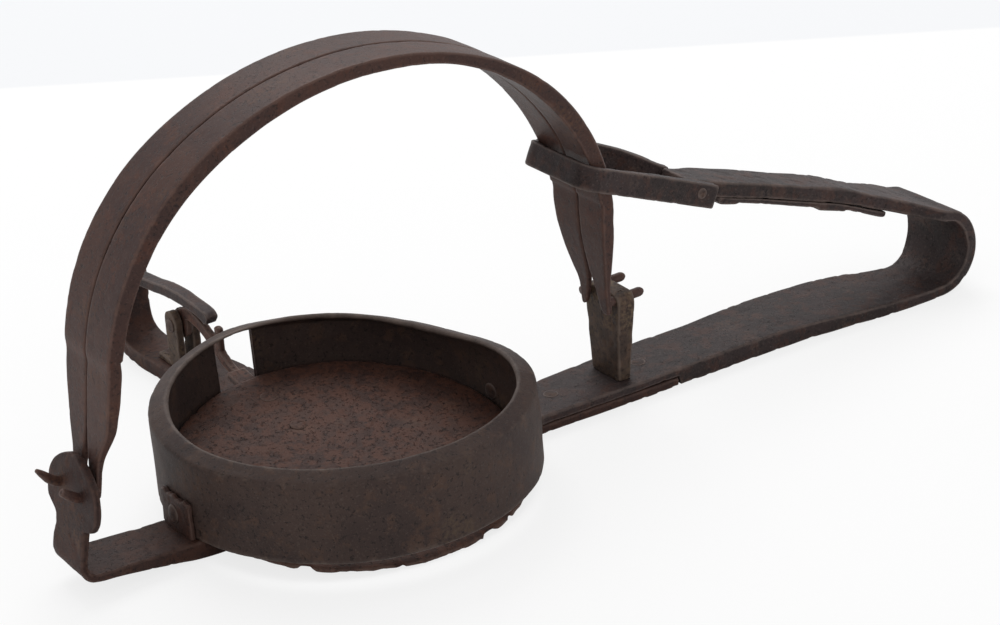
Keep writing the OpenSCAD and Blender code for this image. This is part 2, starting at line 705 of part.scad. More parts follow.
module pan_rivet_holes() {
    on_pan() for (y = [24, 43]) translate([till_x, y, -10]) cylinder(r = 1.6, h = 20);
}

module pan_plate() {
    color([0.29, 0.2, 0.16]) difference() {
        on_pan() translate([0, 0, -pan_t]) cylinder(r = pan_r, h = pan_t, $fn = 180);
        pan_rivet_holes();
    }
}

module pan_arm() {
    zu = -pan_t;
    color([0.25, 0.2, 0.17]) difference() {
        union() {
            on_pan() translate([till_x - strip_half, 15, zu - strip_t])
                cube([2 * strip_half, 50, strip_t]);
            difference() {
                union() {
                    along_x(fin_x0, fin_x0 + fin_t) polygon([[63, 15.4], [66, 15.6], [72, 16.8],
                        [78, 20.2], [84, 23.2], [90, 25], [pan_pivot_y - 6, 25.6],
                        [pan_pivot_y - 2, pan_pivot_z], [pan_pivot_y + 3.6, pan_pivot_z + 3.6],
                        [pan_pivot_y, pan_pivot_z + 6.2], [pan_pivot_y - 4.5, pan_pivot_z + 7.3],
                        [90, 29.8], [83.3, 28], [79.5, 26.2], [76.4, 25.6],
                        [76.4, finger_z - 0.6], [75.8, finger_z], [74, finger_z],
                        [73.2, finger_z - 0.6], [73.2, 24.5], [71, 21.4], [68, 19.4], [63, 18]]);
                    translate([fin_x0, pan_pivot_y, pan_pivot_z]) rotate([0, 90, 0])
                        cylinder(r = fin_eye_r, h = fin_t);
                }
                translate([fin_x0 - 1, pan_pivot_y, pan_pivot_z]) rotate([0, 90, 0])
                    cylinder(r = hole_pan_r, h = fin_t + 2);
            }
        }
        pan_rivet_holes();
    }
}

module pan_rivets() {
    color([0.24, 0.19, 0.16]) on_pan() for (y = [24, 43]) {
        translate([till_x, y, -pan_t - strip_t]) cylinder(r = 1.6, h = pan_t + strip_t);
        translate([till_x, y, 0]) cylinder(r1 = 2.9, r2 = 1.8, h = 0.8);
    }
}

module catch() {
    yc = upright_y + upright_t / 2;
    l = yc - catch_tip_y;
    // The bar's edges: share of the length from the hinge, height above the hinge
    above = [[0, 3.2], [0.1, 2.2], [0.18, 1.5], [0.36, 2.8], [0.55, 4.6], [0.7, 5.2], [0.84, 5],
        [0.96, 4.6], [0.99, 3.9], [1, 2.6]];
    below = [[1, -0.1], [0.975, -0.2], [0.955, 0.3], [0.92, 1.1], [0.84, 1.5], [0.7, 1.6],
        [0.55, 1.1], [0.36, -0.5], [0.18, -2], [0.1, -2.6], [0, -3.2]];
    color([0.26, 0.21, 0.19]) difference() {
        union() {
            along_x(till_x - catch_w / 2, till_x + catch_w / 2)
                polygon([for (p = concat(above, below)) [yc - l * p[0], catch_z + p[1]]]);
            translate([till_x - catch_w / 2, yc, catch_z]) rotate([0, 90, 0])
                cylinder(r = 3.4, h = catch_w);
        }
        translate([-20, yc, catch_z]) rotate([0, 90, 0]) cylinder(r = hole_catch_r, h = 40);
    }
}

sole_bar();
rear_post();
spring_lower_leg();
spring_bend();
lap_rivets();
cross_arm();
cross_arm_rivets();
collar();
collar_lug_left();
collar_lug_right();
collar_rivets();
pan_bracket();
bracket_rivets();
pan_pivot_pin();
catch_pin();
spring_upper_arm();
spring_eye();
eye_rivet();
spring_under_leaf();
leaf_rivets();
near_jaw();
far_jaw();
pan_plate();
pan_arm();
pan_rivets();
catch();
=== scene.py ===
# %% [markdown]
# # A hand-forged spring trap
# This lesson dresses a finished CAD model of an old single-spring animal trap, a farm tool that
# a smith made from flat bar. The CAD model gives the main places and sizes, and the numbers here
# follow it, apart from where the forging is uneven. The script sets a camera, a floor and soft
# light, and then replaces the plain solids with worn, pitted iron.
# Everything is worked out in millimetres and turned to metres when it goes into a mesh.

# %% Load the frame
import math

import bpy
import numpy as np
from mathutils import Matrix, Vector


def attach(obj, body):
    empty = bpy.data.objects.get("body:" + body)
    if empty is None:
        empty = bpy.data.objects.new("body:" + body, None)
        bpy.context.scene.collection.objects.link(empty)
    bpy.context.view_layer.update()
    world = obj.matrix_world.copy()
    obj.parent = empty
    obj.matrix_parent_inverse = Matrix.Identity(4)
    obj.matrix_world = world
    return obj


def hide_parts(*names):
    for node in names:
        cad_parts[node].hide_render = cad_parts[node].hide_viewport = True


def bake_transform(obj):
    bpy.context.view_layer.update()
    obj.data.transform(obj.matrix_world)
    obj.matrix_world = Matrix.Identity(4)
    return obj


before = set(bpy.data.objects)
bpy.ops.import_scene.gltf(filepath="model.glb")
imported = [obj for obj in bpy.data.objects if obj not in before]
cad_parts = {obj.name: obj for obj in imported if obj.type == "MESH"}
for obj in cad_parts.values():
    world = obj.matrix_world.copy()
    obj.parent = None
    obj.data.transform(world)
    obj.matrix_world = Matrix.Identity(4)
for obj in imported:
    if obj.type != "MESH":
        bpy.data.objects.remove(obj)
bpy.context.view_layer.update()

# %% [markdown]
# ## Camera
# The trap was looked at from its left front, from a little above, through a long lens. A long
# lens far away keeps the two posts nearly the same size. The three directions below are the
# picture's right, up and depth, so they make the camera's turning matrix as they stand.

# %% Camera
PICTURE_WIDTH_PX = 1000
FOCAL_PX = 2600.67
picture_right = Vector((0.8251, -0.5616, -0.0609))
picture_up = Vector((0.2815, 0.3153, 0.9063))
picture_depth = Vector((0.4898, 0.7649, -0.4183))
camera_data = bpy.data.cameras.new("camera")
camera_data.sensor_width = 36
camera_data.lens = FOCAL_PX * camera_data.sensor_width / PICTURE_WIDTH_PX
camera_data.clip_start = 0.01
camera = bpy.data.objects.new("camera", camera_data)
turn = Matrix((picture_right, picture_up, -picture_depth)).transposed().to_4x4()
turn.translation = Vector((-0.3491, -0.6394, 0.3914))
camera.matrix_world = turn
bpy.context.scene.collection.objects.link(camera)
bpy.context.scene.camera = camera
print("lens in mm:", round(camera_data.lens, 1))

# %% [markdown]
# ## Colours and nodes
# Colours are written as the hex values that a paint chart would give. Blender mixes light in
# linear values, so one function turns the one into the other. One more function adds a shader
# node with its settings and its links, which keeps each finish short.

# %% Colours and nodes
def linear(code):
    """sRGB hex to linear: each channel over 0.04045 is ((c + 0.055) / 1.055) to the power 2.4."""
    channels = [int(code[k:k + 2], 16) / 255 for k in (1, 3, 5)]
    return [c / 12.92 if c <= 0.04045 else ((c + 0.055) / 1.055) ** 2.4 for c in channels] + [1.0]


def add_node(tree, kind, sockets=None, **settings):
    """Adds a node and sets its properties. A socket whose value is another node's output is linked to
    it, and any other takes the value as it is."""
    node = tree.nodes.new(kind)
    for key, value in settings.items():
        setattr(node, key, value)
    for key, value in (sockets or {}).items():
        if isinstance(value, bpy.types.NodeSocket):
            tree.links.new(value, node.inputs[key])
        else:
            node.inputs[key].default_value = value
    return node


# %% [markdown]
# ## Floor and light
# The trap stands on a white table. The table's far part is a shade greyer, where the picture
# shows a backing board. It is drawn in the floor's own colour, so that no board stands in the
# way when the trap is seen from behind. The light is a white room, with one large soft lamp
# high up behind the trap that gives the tops of the bars their sheen.

# %% Floor
floor_half = 4.0
floor_mesh = bpy.data.meshes.new("floor")
floor_mesh.from_pydata([(-floor_half, -floor_half, 0), (floor_half, -floor_half, 0),
                        (floor_half, floor_half, 0), (-floor_half, floor_half, 0)], [], [(0, 1, 2, 3)])
floor = bpy.data.objects.new("floor", floor_mesh)
bpy.context.scene.collection.objects.link(floor)

painted_table = bpy.data.materials.new("painted_table")
painted_table.use_nodes = True
tree = painted_table.node_tree
tree.nodes.clear()
place = add_node(tree, "ShaderNodeTexCoord")
# The board's foot runs through (74, 432) and (454, 179) mm. This is how far a point lies from the
# collar's centre towards that line, which is 0.4 m away.
across = add_node(tree, "ShaderNodeVectorMath", {0: place.outputs["Object"], 1: (0.5542, 0.8324, 0)},
                  operation="DOT_PRODUCT")
board = add_node(tree, "ShaderNodeMapRange", {"Value": across.outputs["Value"], "From Min": 0.4,
                                              "From Max": 0.403})
table_colour = add_node(tree, "ShaderNodeMix", {"Factor": board.outputs["Result"], 6: linear("#fdfdfd"),
                                                7: linear("#f5f6f8")}, data_type="RGBA").outputs[2]
table_paint = add_node(tree, "ShaderNodeBsdfPrincipled", {"Base Color": table_colour, "Roughness": 0.6})
# To the camera, eight tenths of the table is its own plain colour, so its shadows stay faint.
plain_table = add_node(tree, "ShaderNodeEmission", {"Color": table_colour, "Strength": 1.0})
camera_ray = add_node(tree, "ShaderNodeLightPath").outputs["Is Camera Ray"]
plain_share = add_node(tree, "ShaderNodeMath", {0: camera_ray, 1: 0.8}, operation="MULTIPLY")
table_seen = add_node(tree, "ShaderNodeMixShader", {0: plain_share.outputs[0], 1: table_paint.outputs["BSDF"],
                                                    2: plain_table.outputs["Emission"]})
add_node(tree, "ShaderNodeOutputMaterial", {"Surface": table_seen.outputs[0]})
floor_mesh.materials.append(painted_table)
print("floor: a square of", 2 * floor_half, "m")

# %% Light
bpy.context.scene.view_settings.view_transform = "Standard"
room = bpy.data.worlds.new("white_room")
bpy.context.scene.world = room
room.use_nodes = True
tree = room.node_tree
tree.nodes.clear()
ray = add_node(tree, "ShaderNodeLightPath")
seen = add_node(tree, "ShaderNodeMath", {0: ray.outputs["Is Camera Ray"], 1: ray.outputs["Is Glossy Ray"]},
                operation="MAXIMUM")
seen_all = add_node(tree, "ShaderNodeMath", {0: seen.outputs[0], 1: ray.outputs["Is Transmission Ray"]},
                    operation="MAXIMUM")
soft_light = add_node(tree, "ShaderNodeBackground", {"Color": linear("#ffffff"), "Strength": 0.64})
plain_white = add_node(tree, "ShaderNodeBackground", {"Color": linear("#f6f7f9"), "Strength": 1.0})
both = add_node(tree, "ShaderNodeMixShader", {0: seen_all.outputs[0], 1: soft_light.outputs[0],
                                              2: plain_white.outputs[0]})
add_node(tree, "ShaderNodeOutputWorld", {"Surface": both.outputs[0]})

lamp_data = bpy.data.lights.new("top_lamp", "AREA")
lamp_data.size = 1.2
lamp_data.energy = 16
top_lamp = bpy.data.objects.new("top_lamp", lamp_data)
top_lamp.location = (0.5, 0.9, 1.5)
lamp_aim = Vector((0.06, 0, 0)) - top_lamp.location
top_lamp.rotation_euler = lamp_aim.to_track_quat("-Z", "Y").to_euler()
bpy.context.scene.collection.objects.link(top_lamp)
print("top lamp:", lamp_data.energy, "W,", lamp_data.size, "m wide")

# %% [markdown]
# ## Iron finishes
# The trap is wrought iron and spring steel that has rusted, been handled and rusted again. Rust
# is a dull brown oxide, and where hands and straps have rubbed, the dark scale under it shows
# with a soft sheen. Five noises carry the look, each as wide as the mark that it stands for:
# broad patches of two browns, rust blooms, drifts of sandy rust, grains that are also the pits,
# and bright specks. A number kept with each point, "edge", is above nought on worn corners and
# below it in hollows. Real rust has finer grains still, which a picture of the whole trap can't
# show, so the finest here, the specks, are drawn 0.8 mm wide.

# %% One recipe for rusted iron
GRAIN_MM, SPECK_MM = 1.3, 0.8
PIT_BLACK, HOLLOW_BLACK = "#17100e", "#1d1512"


def rusted_iron(name, dark, warm, rust, sand, worn, patch_mm=26, bloom_mm=7, rust_share=0.45,
                sand_share=0.25, wear=1.0, gloss=0.62, pit_height_mm=0.25):
    """Colour: layers over the dark brown, each let through by a smooth band of a noise or of edge. A band
    from high to low lets the low values through. Height: 0.9 x blooms, less 0.55 x pits."""
    finish = bpy.data.materials.new(name)
    finish.use_nodes = True
    tree = finish.node_tree
    tree.nodes.clear()
    place = add_node(tree, "ShaderNodeTexCoord").outputs["Object"]
    edge = add_node(tree, "ShaderNodeAttribute", attribute_name="edge").outputs["Fac"]
    patches, blooms, grains, drifts, specks = (
        add_node(tree, "ShaderNodeTexNoise", {"Vector": place, "Scale": 1000 / size_mm, "Detail": detail,
                                              "Roughness": rough}).outputs["Fac"]
        for size_mm, detail, rough in ((patch_mm, 3, 0.6), (bloom_mm, 6, 0.68), (GRAIN_MM, 4, 0.7),
                                       (0.7 * patch_mm, 2, 0.6), (SPECK_MM, 3, 0.8)))
    # Corners are rubbed in an uneven line: 0.8 x blooms + edge.
    corners = add_node(tree, "ShaderNodeMath", {0: blooms, 1: 0.8, 2: edge},
                       operation="MULTIPLY_ADD").outputs[0]
    bloom_low = 0.62 - 0.3 * rust_share
    patch, bloom, drift, grain, speck, pit, hollow, rubbed = (
        add_node(tree, "ShaderNodeMapRange", {"Value": value, "From Min": low, "From Max": high},
                 interpolation_type="SMOOTHSTEP").outputs["Result"]
        for value, low, high in ((patches, 0.38, 0.62), (blooms, bloom_low, bloom_low + 0.12),
                                 (drifts, 0.62 - 0.35 * sand_share, 0.72), (grains, 0.46, 0.62),
                                 (specks, 0.53, 0.7), (grains, 0.46, 0.34), (edge, -0.08, -0.6),
                                 (corners, 0.52, 1.15)))
    sandy = add_node(tree, "ShaderNodeMath", {0: drift, 1: grain}, operation="MULTIPLY").outputs[0]
    colour = linear(dark)
    for mask, share, code in ((patch, 1, warm), (bloom, 0.8, rust), (sandy, min(1, 2.5 * sand_share), sand),
                              (speck, 0.3, worn), (pit, 0.7, PIT_BLACK), (hollow, 0.6, HOLLOW_BLACK),
                              (rubbed, wear, worn)):
        amount = add_node(tree, "ShaderNodeMath", {0: mask, 1: share}, operation="MULTIPLY").outputs[0]
        colour = add_node(tree, "ShaderNodeMix", {"Factor": amount, 6: colour, 7: linear(code)},
                          data_type="RGBA").outputs[2]
    # Roughness: gloss + 0.35 x (grains - 0.5) - 0.12 x the rubbed amount, which is the last layer's.
    grainy = add_node(tree, "ShaderNodeMath", {0: grains, 1: 0.35, 2: gloss - 0.175},
                      operation="MULTIPLY_ADD")
    rough = add_node(tree, "ShaderNodeMath", {0: amount, 1: -0.12, 2: grainy.outputs[0]},
                     operation="MULTIPLY_ADD")
    swell = add_node(tree, "ShaderNodeMath", {0: blooms, 1: 0.9}, operation="MULTIPLY")
    height = add_node(tree, "ShaderNodeMath", {0: pit, 1: -0.55, 2: swell.outputs[0]},
                      operation="MULTIPLY_ADD")
    bump = add_node(tree, "ShaderNodeBump", {"Height": height.outputs[0], "Strength": 0.8,
                                             "Distance": pit_height_mm * 0.001})
    iron = add_node(tree, "ShaderNodeBsdfPrincipled",
                    {"Base Color": colour, "Roughness": rough.outputs[0], "Normal": bump.outputs["Normal"],
                     "Metallic": 0.0, "Specular IOR Level": 0.2})
    add_node(tree, "ShaderNodeOutputMaterial", {"Surface": iron.outputs["BSDF"]})
    return finish


# %% The seven finishes
# Wrought bar, hammered and rusted: dull brown with sandy freckles.
wrought_bar = rusted_iron("wrought_bar_rusted", "#2e1e1b", "#382520", "#432a21", "#614837", "#56423b",
                          rust_share=0.5, sand_share=0.2, wear=0.7)
# The rear post is the same bar, left rough: sandy brown pitting all over.
sandy_bar = rusted_iron("wrought_bar_sandy", "#3a2d27", "#46382f", "#523f34", "#74624c", "#61534a",
                        rust_share=0.5, sand_share=0.9, pit_height_mm=0.3)
# Spring steel, scaled in the fire: darker and closer-grained, with a soft sheen on top.
spring_steel = rusted_iron("spring_steel_scaled", "#2b2221", "#352928", "#402b25", "#5c4b41", "#73655f",
                           rust_share=0.45, sand_share=0.2, wear=0.5, gloss=0.58)
# Sheet iron, rolled thin: dark grey-brown, its lip rubbed grey, sandy at one side.
sheet_iron = rusted_iron("sheet_iron_worn", "#382c29", "#42342f", "#4b382f", "#65543f", "#655851",
                         rust_share=0.35, sand_share=0.12, pit_height_mm=0.15)
# Jaws, filed and handled: the smoothest iron here, warm grey-brown with a satin sheen.
jaw_iron = rusted_iron("jaw_iron_handled", "#3b2824", "#452e27", "#4c2f25", "#5c4231", "#6c554d",
                       rust_share=0.35, sand_share=0.2, wear=0.5, gloss=0.52, pit_height_mm=0.16)
# The pan: the reddest and most deeply pitted piece.
pan_iron = rusted_iron("pan_iron_pitted", "#3c2924", "#48322b", "#54362b", "#674f40", "#5d4941",
                       patch_mm=18, bloom_mm=5, rust_share=0.6, sand_share=0.15, pit_height_mm=0.35)
# Rivets and pins: hammered cold, with rust round them.
rivet_iron = rusted_iron("rivet_iron_hammered", "#332725", "#40302b", "#4a342a", "#605040", "#62544e",
                         bloom_mm=3, rust_share=0.5, sand_share=0.1)
print("finishes:", [finish.name for finish in (wrought_bar, sandy_bar, spring_steel, sheet_iron, jaw_iron,
                                               pan_iron, rivet_iron)])

# %% [markdown]
# ## Shapes as whole arrays
# Nearly every piece of the trap was one flat bar, so one surface serves for most: a rounded
# rectangle carried along a path, whose width and thickness change as it goes. Its points form
# a grid, one row for each step of the path and one column for each point round the section, so
# numpy can work out all of them at once.

# %% Smooth lines
def eased(x, keys, values):
    """A smooth line through given points: between two keys a cubic, whose slope at each key is the
    harmonic mean of the slopes beside it, or nought where they differ in sign, so it never overshoots."""
    keys, values = np.asarray(keys, float), np.asarray(values, float)
    d = np.diff(values) / np.diff(keys)
    both = d[:-1] * d[1:]
    inner = np.where(both > 0, 2 * both / np.where(both > 0, d[:-1] + d[1:], 1), 0)
    slope = np.concatenate([d[:1], inner, d[-1:]])
    x = np.clip(x, keys[0], keys[-1])
    i = np.clip(np.searchsorted(keys, x) - 1, 0, len(keys) - 2)
    h = keys[i + 1] - keys[i]
    s = (x - keys[i]) / h
    return ((1 + 2 * s) * (1 - s) ** 2 * values[i] + s * (1 - s) ** 2 * h * slope[i]
            + s * s * (3 - 2 * s) * values[i + 1] - s * s * (1 - s) * h * slope[i + 1])


def walk(points, step=1.0, end=0.8):
    """A smooth path through the points (a cubic whose slope at each point follows its neighbours), cut
    into equal steps, with shorter ones near both ends. Returns the places and how far along each is."""
    p = np.asarray(points, float)
    t = np.concatenate([[0], np.cumsum(np.linalg.norm(np.diff(p, axis=0), axis=1))])
    slope = np.gradient(p, t, axis=0)
    fine = np.linspace(0, t[-1], 6000)
    i = np.clip(np.searchsorted(t, fine, side="right") - 1, 0, len(t) - 2)
    h = (t[i + 1] - t[i])[:, None]
    s = ((fine - t[i]) / h[:, 0])[:, None]
    q = ((1 + 2 * s) * (1 - s) ** 2 * p[i] + s * (1 - s) ** 2 * h * slope[i]
         + s * s * (3 - 2 * s) * p[i + 1] - s * s * (1 - s) * h * slope[i + 1])
    run = np.concatenate([[0], np.cumsum(np.linalg.norm(np.diff(q, axis=0), axis=1))])
    total = run[-1]
    near_end = end * (1 - np.cos(np.radians([0, 30, 55, 75, 90])))
    middle = np.linspace(end, total - end, max(2, round((total - 2 * end) / step)))
    at = np.unique(np.concatenate([near_end, middle, total - near_end]).round(4))
    return np.stack([np.interp(at, run, q[:, k]) for k in range(3)], 1), at


# %% A bar along a path
def section_plan(wide, thick, turns=4):
    """The section's columns, as shares of its box and unit corner directions: up one side, over the
    top, down the other side, and back along the bottom. Column k of the top faces column -1 - k."""
    angle = np.linspace(0, 90, turns + 1)
    side = (np.arange(thick) + 0.5) / thick
    top = (np.arange(wide) + 1) / (wide + 1)
    across = np.concatenate([np.ones(thick + turns + 1), 1 - top, np.zeros(turns + 1 + thick)])
    along = np.concatenate([0.5 + side / 2, np.ones(2 * turns + 2 + wide), 1 - side / 2])
    turned = np.radians(np.concatenate([np.zeros(thick), angle, np.full(wide, 90), 90 + angle,
                                        np.full(thick, 180)]))
    return (np.concatenate([across, across[::-1]]), np.concatenate([along, 1 - along[::-1]]),
            np.concatenate([np.cos(turned), np.cos(turned[::-1])]),
            np.concatenate([np.sin(turned), -np.sin(turned[::-1])]))


def bar(path, at, side, plus, minus, above, below, corner, wide=12, thick=2, end=0.8):
    """Carries a rounded rectangle along a path. side points to the plus edge, and tangent x side points
    above. Near each end the section draws in by end - sqrt(end^2 - (end - distance)^2), a round edge.
    Returns points and quads of a closed shell."""
    rows = len(path)
    tangent = np.gradient(path, at, axis=0)
    tangent /= np.linalg.norm(tangent, axis=1)[:, None]
    side = np.broadcast_to(np.asarray(side, float), (rows, 3))
    side = side - (side * tangent).sum(1)[:, None] * tangent
    side = side / np.linalg.norm(side, axis=1)[:, None]
    up = np.cross(tangent, side)
    left = np.minimum(at, at[-1] - at)
    draw = np.maximum(end - left, 0)
    draw = end - np.sqrt(np.maximum(end ** 2 - draw ** 2, 0))
    plus, minus, above, below = (np.broadcast_to(v, rows) - draw for v in (plus, minus, above, below))
    corner = np.minimum(np.broadcast_to(corner, rows), 0.49 * np.minimum(plus + minus, above + below))
    across, along, cos, sin = (v[None, :] for v in section_plan(wide, thick))
    r, a, b, c, d = (v[:, None] for v in (corner, plus, minus, above, below))
    y = -b + r + across * (a + b - 2 * r) + r * cos
    z = -d + r + along * (c + d - 2 * r) + r * sin
    points = path[:, None, :] + y[..., None] * side[:, None, :] + z[..., None] * up[:, None, :]
    columns = across.shape[1]
    grid = np.arange(rows * columns).reshape(rows, columns)
    around = np.roll(grid, -1, axis=1)
    quads = np.stack([grid[:-1], around[:-1], around[1:], grid[1:]], -1).reshape(-1, 4)
    half = columns // 2
    k = np.arange(half - 1)
    caps = [np.stack([grid[e, k], grid[e, k + 1], grid[e, columns - 2 - k], grid[e, columns - 1 - k]], -1)
            for e in (0, rows - 1)]
    caps[0] = caps[0][:, ::-1]
    return points.reshape(-1, 3), [np.concatenate([quads] + caps)]


# %% [markdown]
# ## Turned shapes
# Rivet heads and pins are round. Their profile is given as radius and height, and is turned
# about an axis, with one point at each pole.

# %% Turn a profile
def turned(profile, base, axis, columns=28):
    """Point = base + height along the axis + radius in the direction of each angle. The first and last
    radius are nought, and each is one point."""
    axis = np.asarray(axis, float) / np.linalg.norm(axis)
    one = np.cross(axis, [0, 0, 1.0] if abs(axis[2]) < 0.9 else [1.0, 0, 0])
    one /= np.linalg.norm(one)
    two = np.cross(axis, one)
    r, h = np.asarray(profile, float).T
    angle = np.linspace(0, 2 * np.pi, columns, endpoint=False)
    ring = np.cos(angle)[:, None] * one + np.sin(angle)[:, None] * two
    body = np.asarray(base) + h[1:-1, None, None] * axis + r[1:-1, None, None] * ring[None]
    rings = len(r) - 2
    grid = np.arange(rings * columns).reshape(rings, columns)
    around = np.roll(grid, -1, axis=1)
    quads = np.stack([grid[:-1], around[:-1], around[1:], grid[1:]], -1).reshape(-1, 4)
    first, last = rings * columns, rings * columns + 1
    low = np.stack([around[0], grid[0], np.full(columns, first)], -1)
    high = np.stack([grid[-1], around[-1], np.full(columns, last)], -1)
    poles = np.asarray(base) + h[[0, -1], None] * axis
    return np.concatenate([body.reshape(-1, 3), poles]), [quads, np.concatenate([low, high])]


def dome(radius, height, skirt=0.0):
    """A hammered head's profile: an ellipse from its rim to its top, closed at skirt below nought."""
    a = np.radians(np.linspace(0, 90, 9))
    r = np.concatenate([[0, radius * 0.96, radius], radius * np.cos(a[1:-1]), [0]])
    h = np.concatenate([[-skirt, -skirt, 0], height * np.sin(a[1:-1]), [height]])
    return np.stack([r, h], 1)


# %% [markdown]
# ## From arrays to forged pieces
# A hammer leaves no flat face: bars wave a little along their length, carry shallow dents, and
# rust eats pits into them. So each point moves along its normal by three smooth random bumps of
# different widths. The same step then measures how far each point stands out from its
# neighbours and keeps that as "edge", which the finishes read.

# %% Smooth random bumps
def lumps(points, size, seed):
    """Value noise: random numbers on a lattice `size` mm apart, blended between the eight corners round
    each point by 3f^2 - 2f^3. From -1 to 1."""
    table = np.random.default_rng(seed).uniform(-1, 1, 4096)
    q = np.asarray(points) / size + 500.0
    cell = np.floor(q).astype(np.int64)
    f = q - cell
    f = f * f * (3 - 2 * f)
    total = np.zeros(len(q))
    for dx in (0, 1):
        for dy in (0, 1):
            for dz in (0, 1):
                key = ((cell[:, 0] + dx) * 73856093 ^ (cell[:, 1] + dy) * 19349663
                       ^ (cell[:, 2] + dz) * 83492791) & 4095
                weight = (np.abs(1 - dx - f[:, 0]) * np.abs(1 - dy - f[:, 1]) * np.abs(1 - dz - f[:, 2]))
                total += weight * table[key]
    return total


def step_up(value, low, high):
    """Nought below low, one above high, and a smooth step between."""
    s = np.clip((value - low) / (high - low), 0, 1)
    return s * s * (3 - 2 * s)


# %% Shells and meshes
def outward(shell):
    """Turns a closed shell's faces outward: its volume, the sum of corner . area vector over the
    faces, comes out above nought when they point out."""
    points, faces = shell
    volume = 0.0
    for group in faces:
        a, b, c, d = (points[group[:, k]] for k in (0, 1, 2, -1))
        volume += (a * (np.cross(b, c) + (np.cross(c, d) if group.shape[1] == 4 else 0))).sum()
    return shell if volume > 0 else (points, [group[:, ::-1] for group in faces])


def joined(shells):
    """Several closed shells as one list of points and faces."""
    points, faces, start = [], [], 0
    for shell in shells:
        p, groups = outward(shell)
        points.append(p)
        faces += [group + start for group in groups]
        start += len(p)
    return np.concatenate(points), faces


def fill_mesh(mesh, points_mm, faces):
    """Puts arrays of points and faces into a mesh, in metres."""
    counts = np.concatenate([np.full(len(g), g.shape[1]) for g in faces])
    mesh.vertices.add(len(points_mm))
    mesh.vertices.foreach_set("co", (points_mm * 0.001).astype(np.float32).ravel())
    mesh.loops.add(int(counts.sum()))
    mesh.loops.foreach_set("vertex_index", np.concatenate([g.ravel() for g in faces]).astype(np.int32))
    mesh.polygons.add(len(counts))
    starts = np.concatenate([[0], np.cumsum(counts)[:-1]])
    mesh.polygons.foreach_set("loop_start", starts.astype(np.int32))
    mesh.update(calc_edges=True)
    mesh.polygons.foreach_set("use_smooth", np.ones(len(counts), bool))


# %% Forge marks and worn edges
def read(collection, name, width):
    """One numpy array, `width` numbers a row, from a mesh's points, edges or normals."""
    kind = np.int32 if name == "vertices" else np.float32
    values = np.empty(len(collection) * width, kind)
    collection.foreach_get(name, values)
    return values.reshape(-1, width)


def edge_share(points_mm, normals, edges):
    """How far a point stands out: for each neighbour 2 x offset . normal / distance^2, a curvature,
    averaged over the neighbours and then smoothed over them three times."""
    a, b = edges[:, 0], edges[:, 1]
    count = np.maximum(np.bincount(np.concatenate([a, b]), minlength=len(points_mm)), 1)
    offset = points_mm[a] - points_mm[b]
    square = np.maximum((offset ** 2).sum(1), 0.02)
    bend = np.concatenate([2 * (offset * normals[a]).sum(1) / square,
                           -2 * (offset * normals[b]).sum(1) / square])
    share = np.bincount(np.concatenate([a, b]), bend, len(points_mm)) / count
    for _ in range(3):
        near = np.bincount(np.concatenate([a, b]), np.concatenate([share[b], share[a]]), len(points_mm))
        share = 0.5 * share + 0.5 * near / count
    return share


def forged(name, shells, body, slot, finish, replaces=(), wave=(0.18, 17), dent=(0.1, 5.5),
           pit=(0.22, 2.1), seed=1):
    """Makes a piece of closed shells: forge marks along the normals (wave, dent and pit are each depth
    and width in mm), the edge attribute, the finish, and the body that it rides on."""
    mesh = bpy.data.meshes.new(name)
    points, faces = joined(shells)
    fill_mesh(mesh, points, faces)
    normals = read(mesh.vertex_normals, "vector", 3)
    pits = step_up(lumps(points, pit[1], seed + 2), 0.25, 0.75) * pit[0]
    move = wave[0] * lumps(points, wave[1], seed) + dent[0] * lumps(points, dent[1], seed + 1) - pits
    points = points + normals * move[:, None]
    mesh.vertices.foreach_set("co", (points * 0.001).astype(np.float32).ravel())
    mesh.update()
    normals = read(mesh.vertex_normals, "vector", 3)
    share = edge_share(points, normals, read(mesh.edges, "vertices", 2))
    mesh.attributes.new("edge", "FLOAT", "POINT").data.foreach_set("value", share.astype(np.float32))
    mesh.materials.append(finish)
    piece = bpy.data.objects.new(name, mesh)
    bpy.context.scene.collection.objects.link(piece)
    if body:
        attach(piece, body)
    if replaces:
        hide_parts(*replaces)
    print(f"{name}: {len(points)} points, {sum(len(g) * (g.shape[1] - 2) for g in faces)} triangles")
    return piece


# Small pins and heads carry only faint marks, and the jaws long shallow ones.
PIN_MARKS = dict(wave=(0.05, 4), dent=(0.05, 2), pit=(0.05, 1.2))
HEAD_MARKS = dict(wave=(0.06, 4), dent=(0.06, 2), pit=(0.06, 1.2))
JAW_MARKS = dict(wave=(0.08, 25), dent=(0.04, 6), pit=(0.08, 1.9))

# %% [markdown]
# ## The sole bar
# One flat wrought bar is the trap's foot. Its left end lifts off the table, thins and turns up
# into a post with a round head, punched for the two jaw pins. Its right end is thinned to half
# for the lap with the spring, and it is halved again where the cross arm lies in it. The path
# is its outer face, from the top of the head down and along the table.

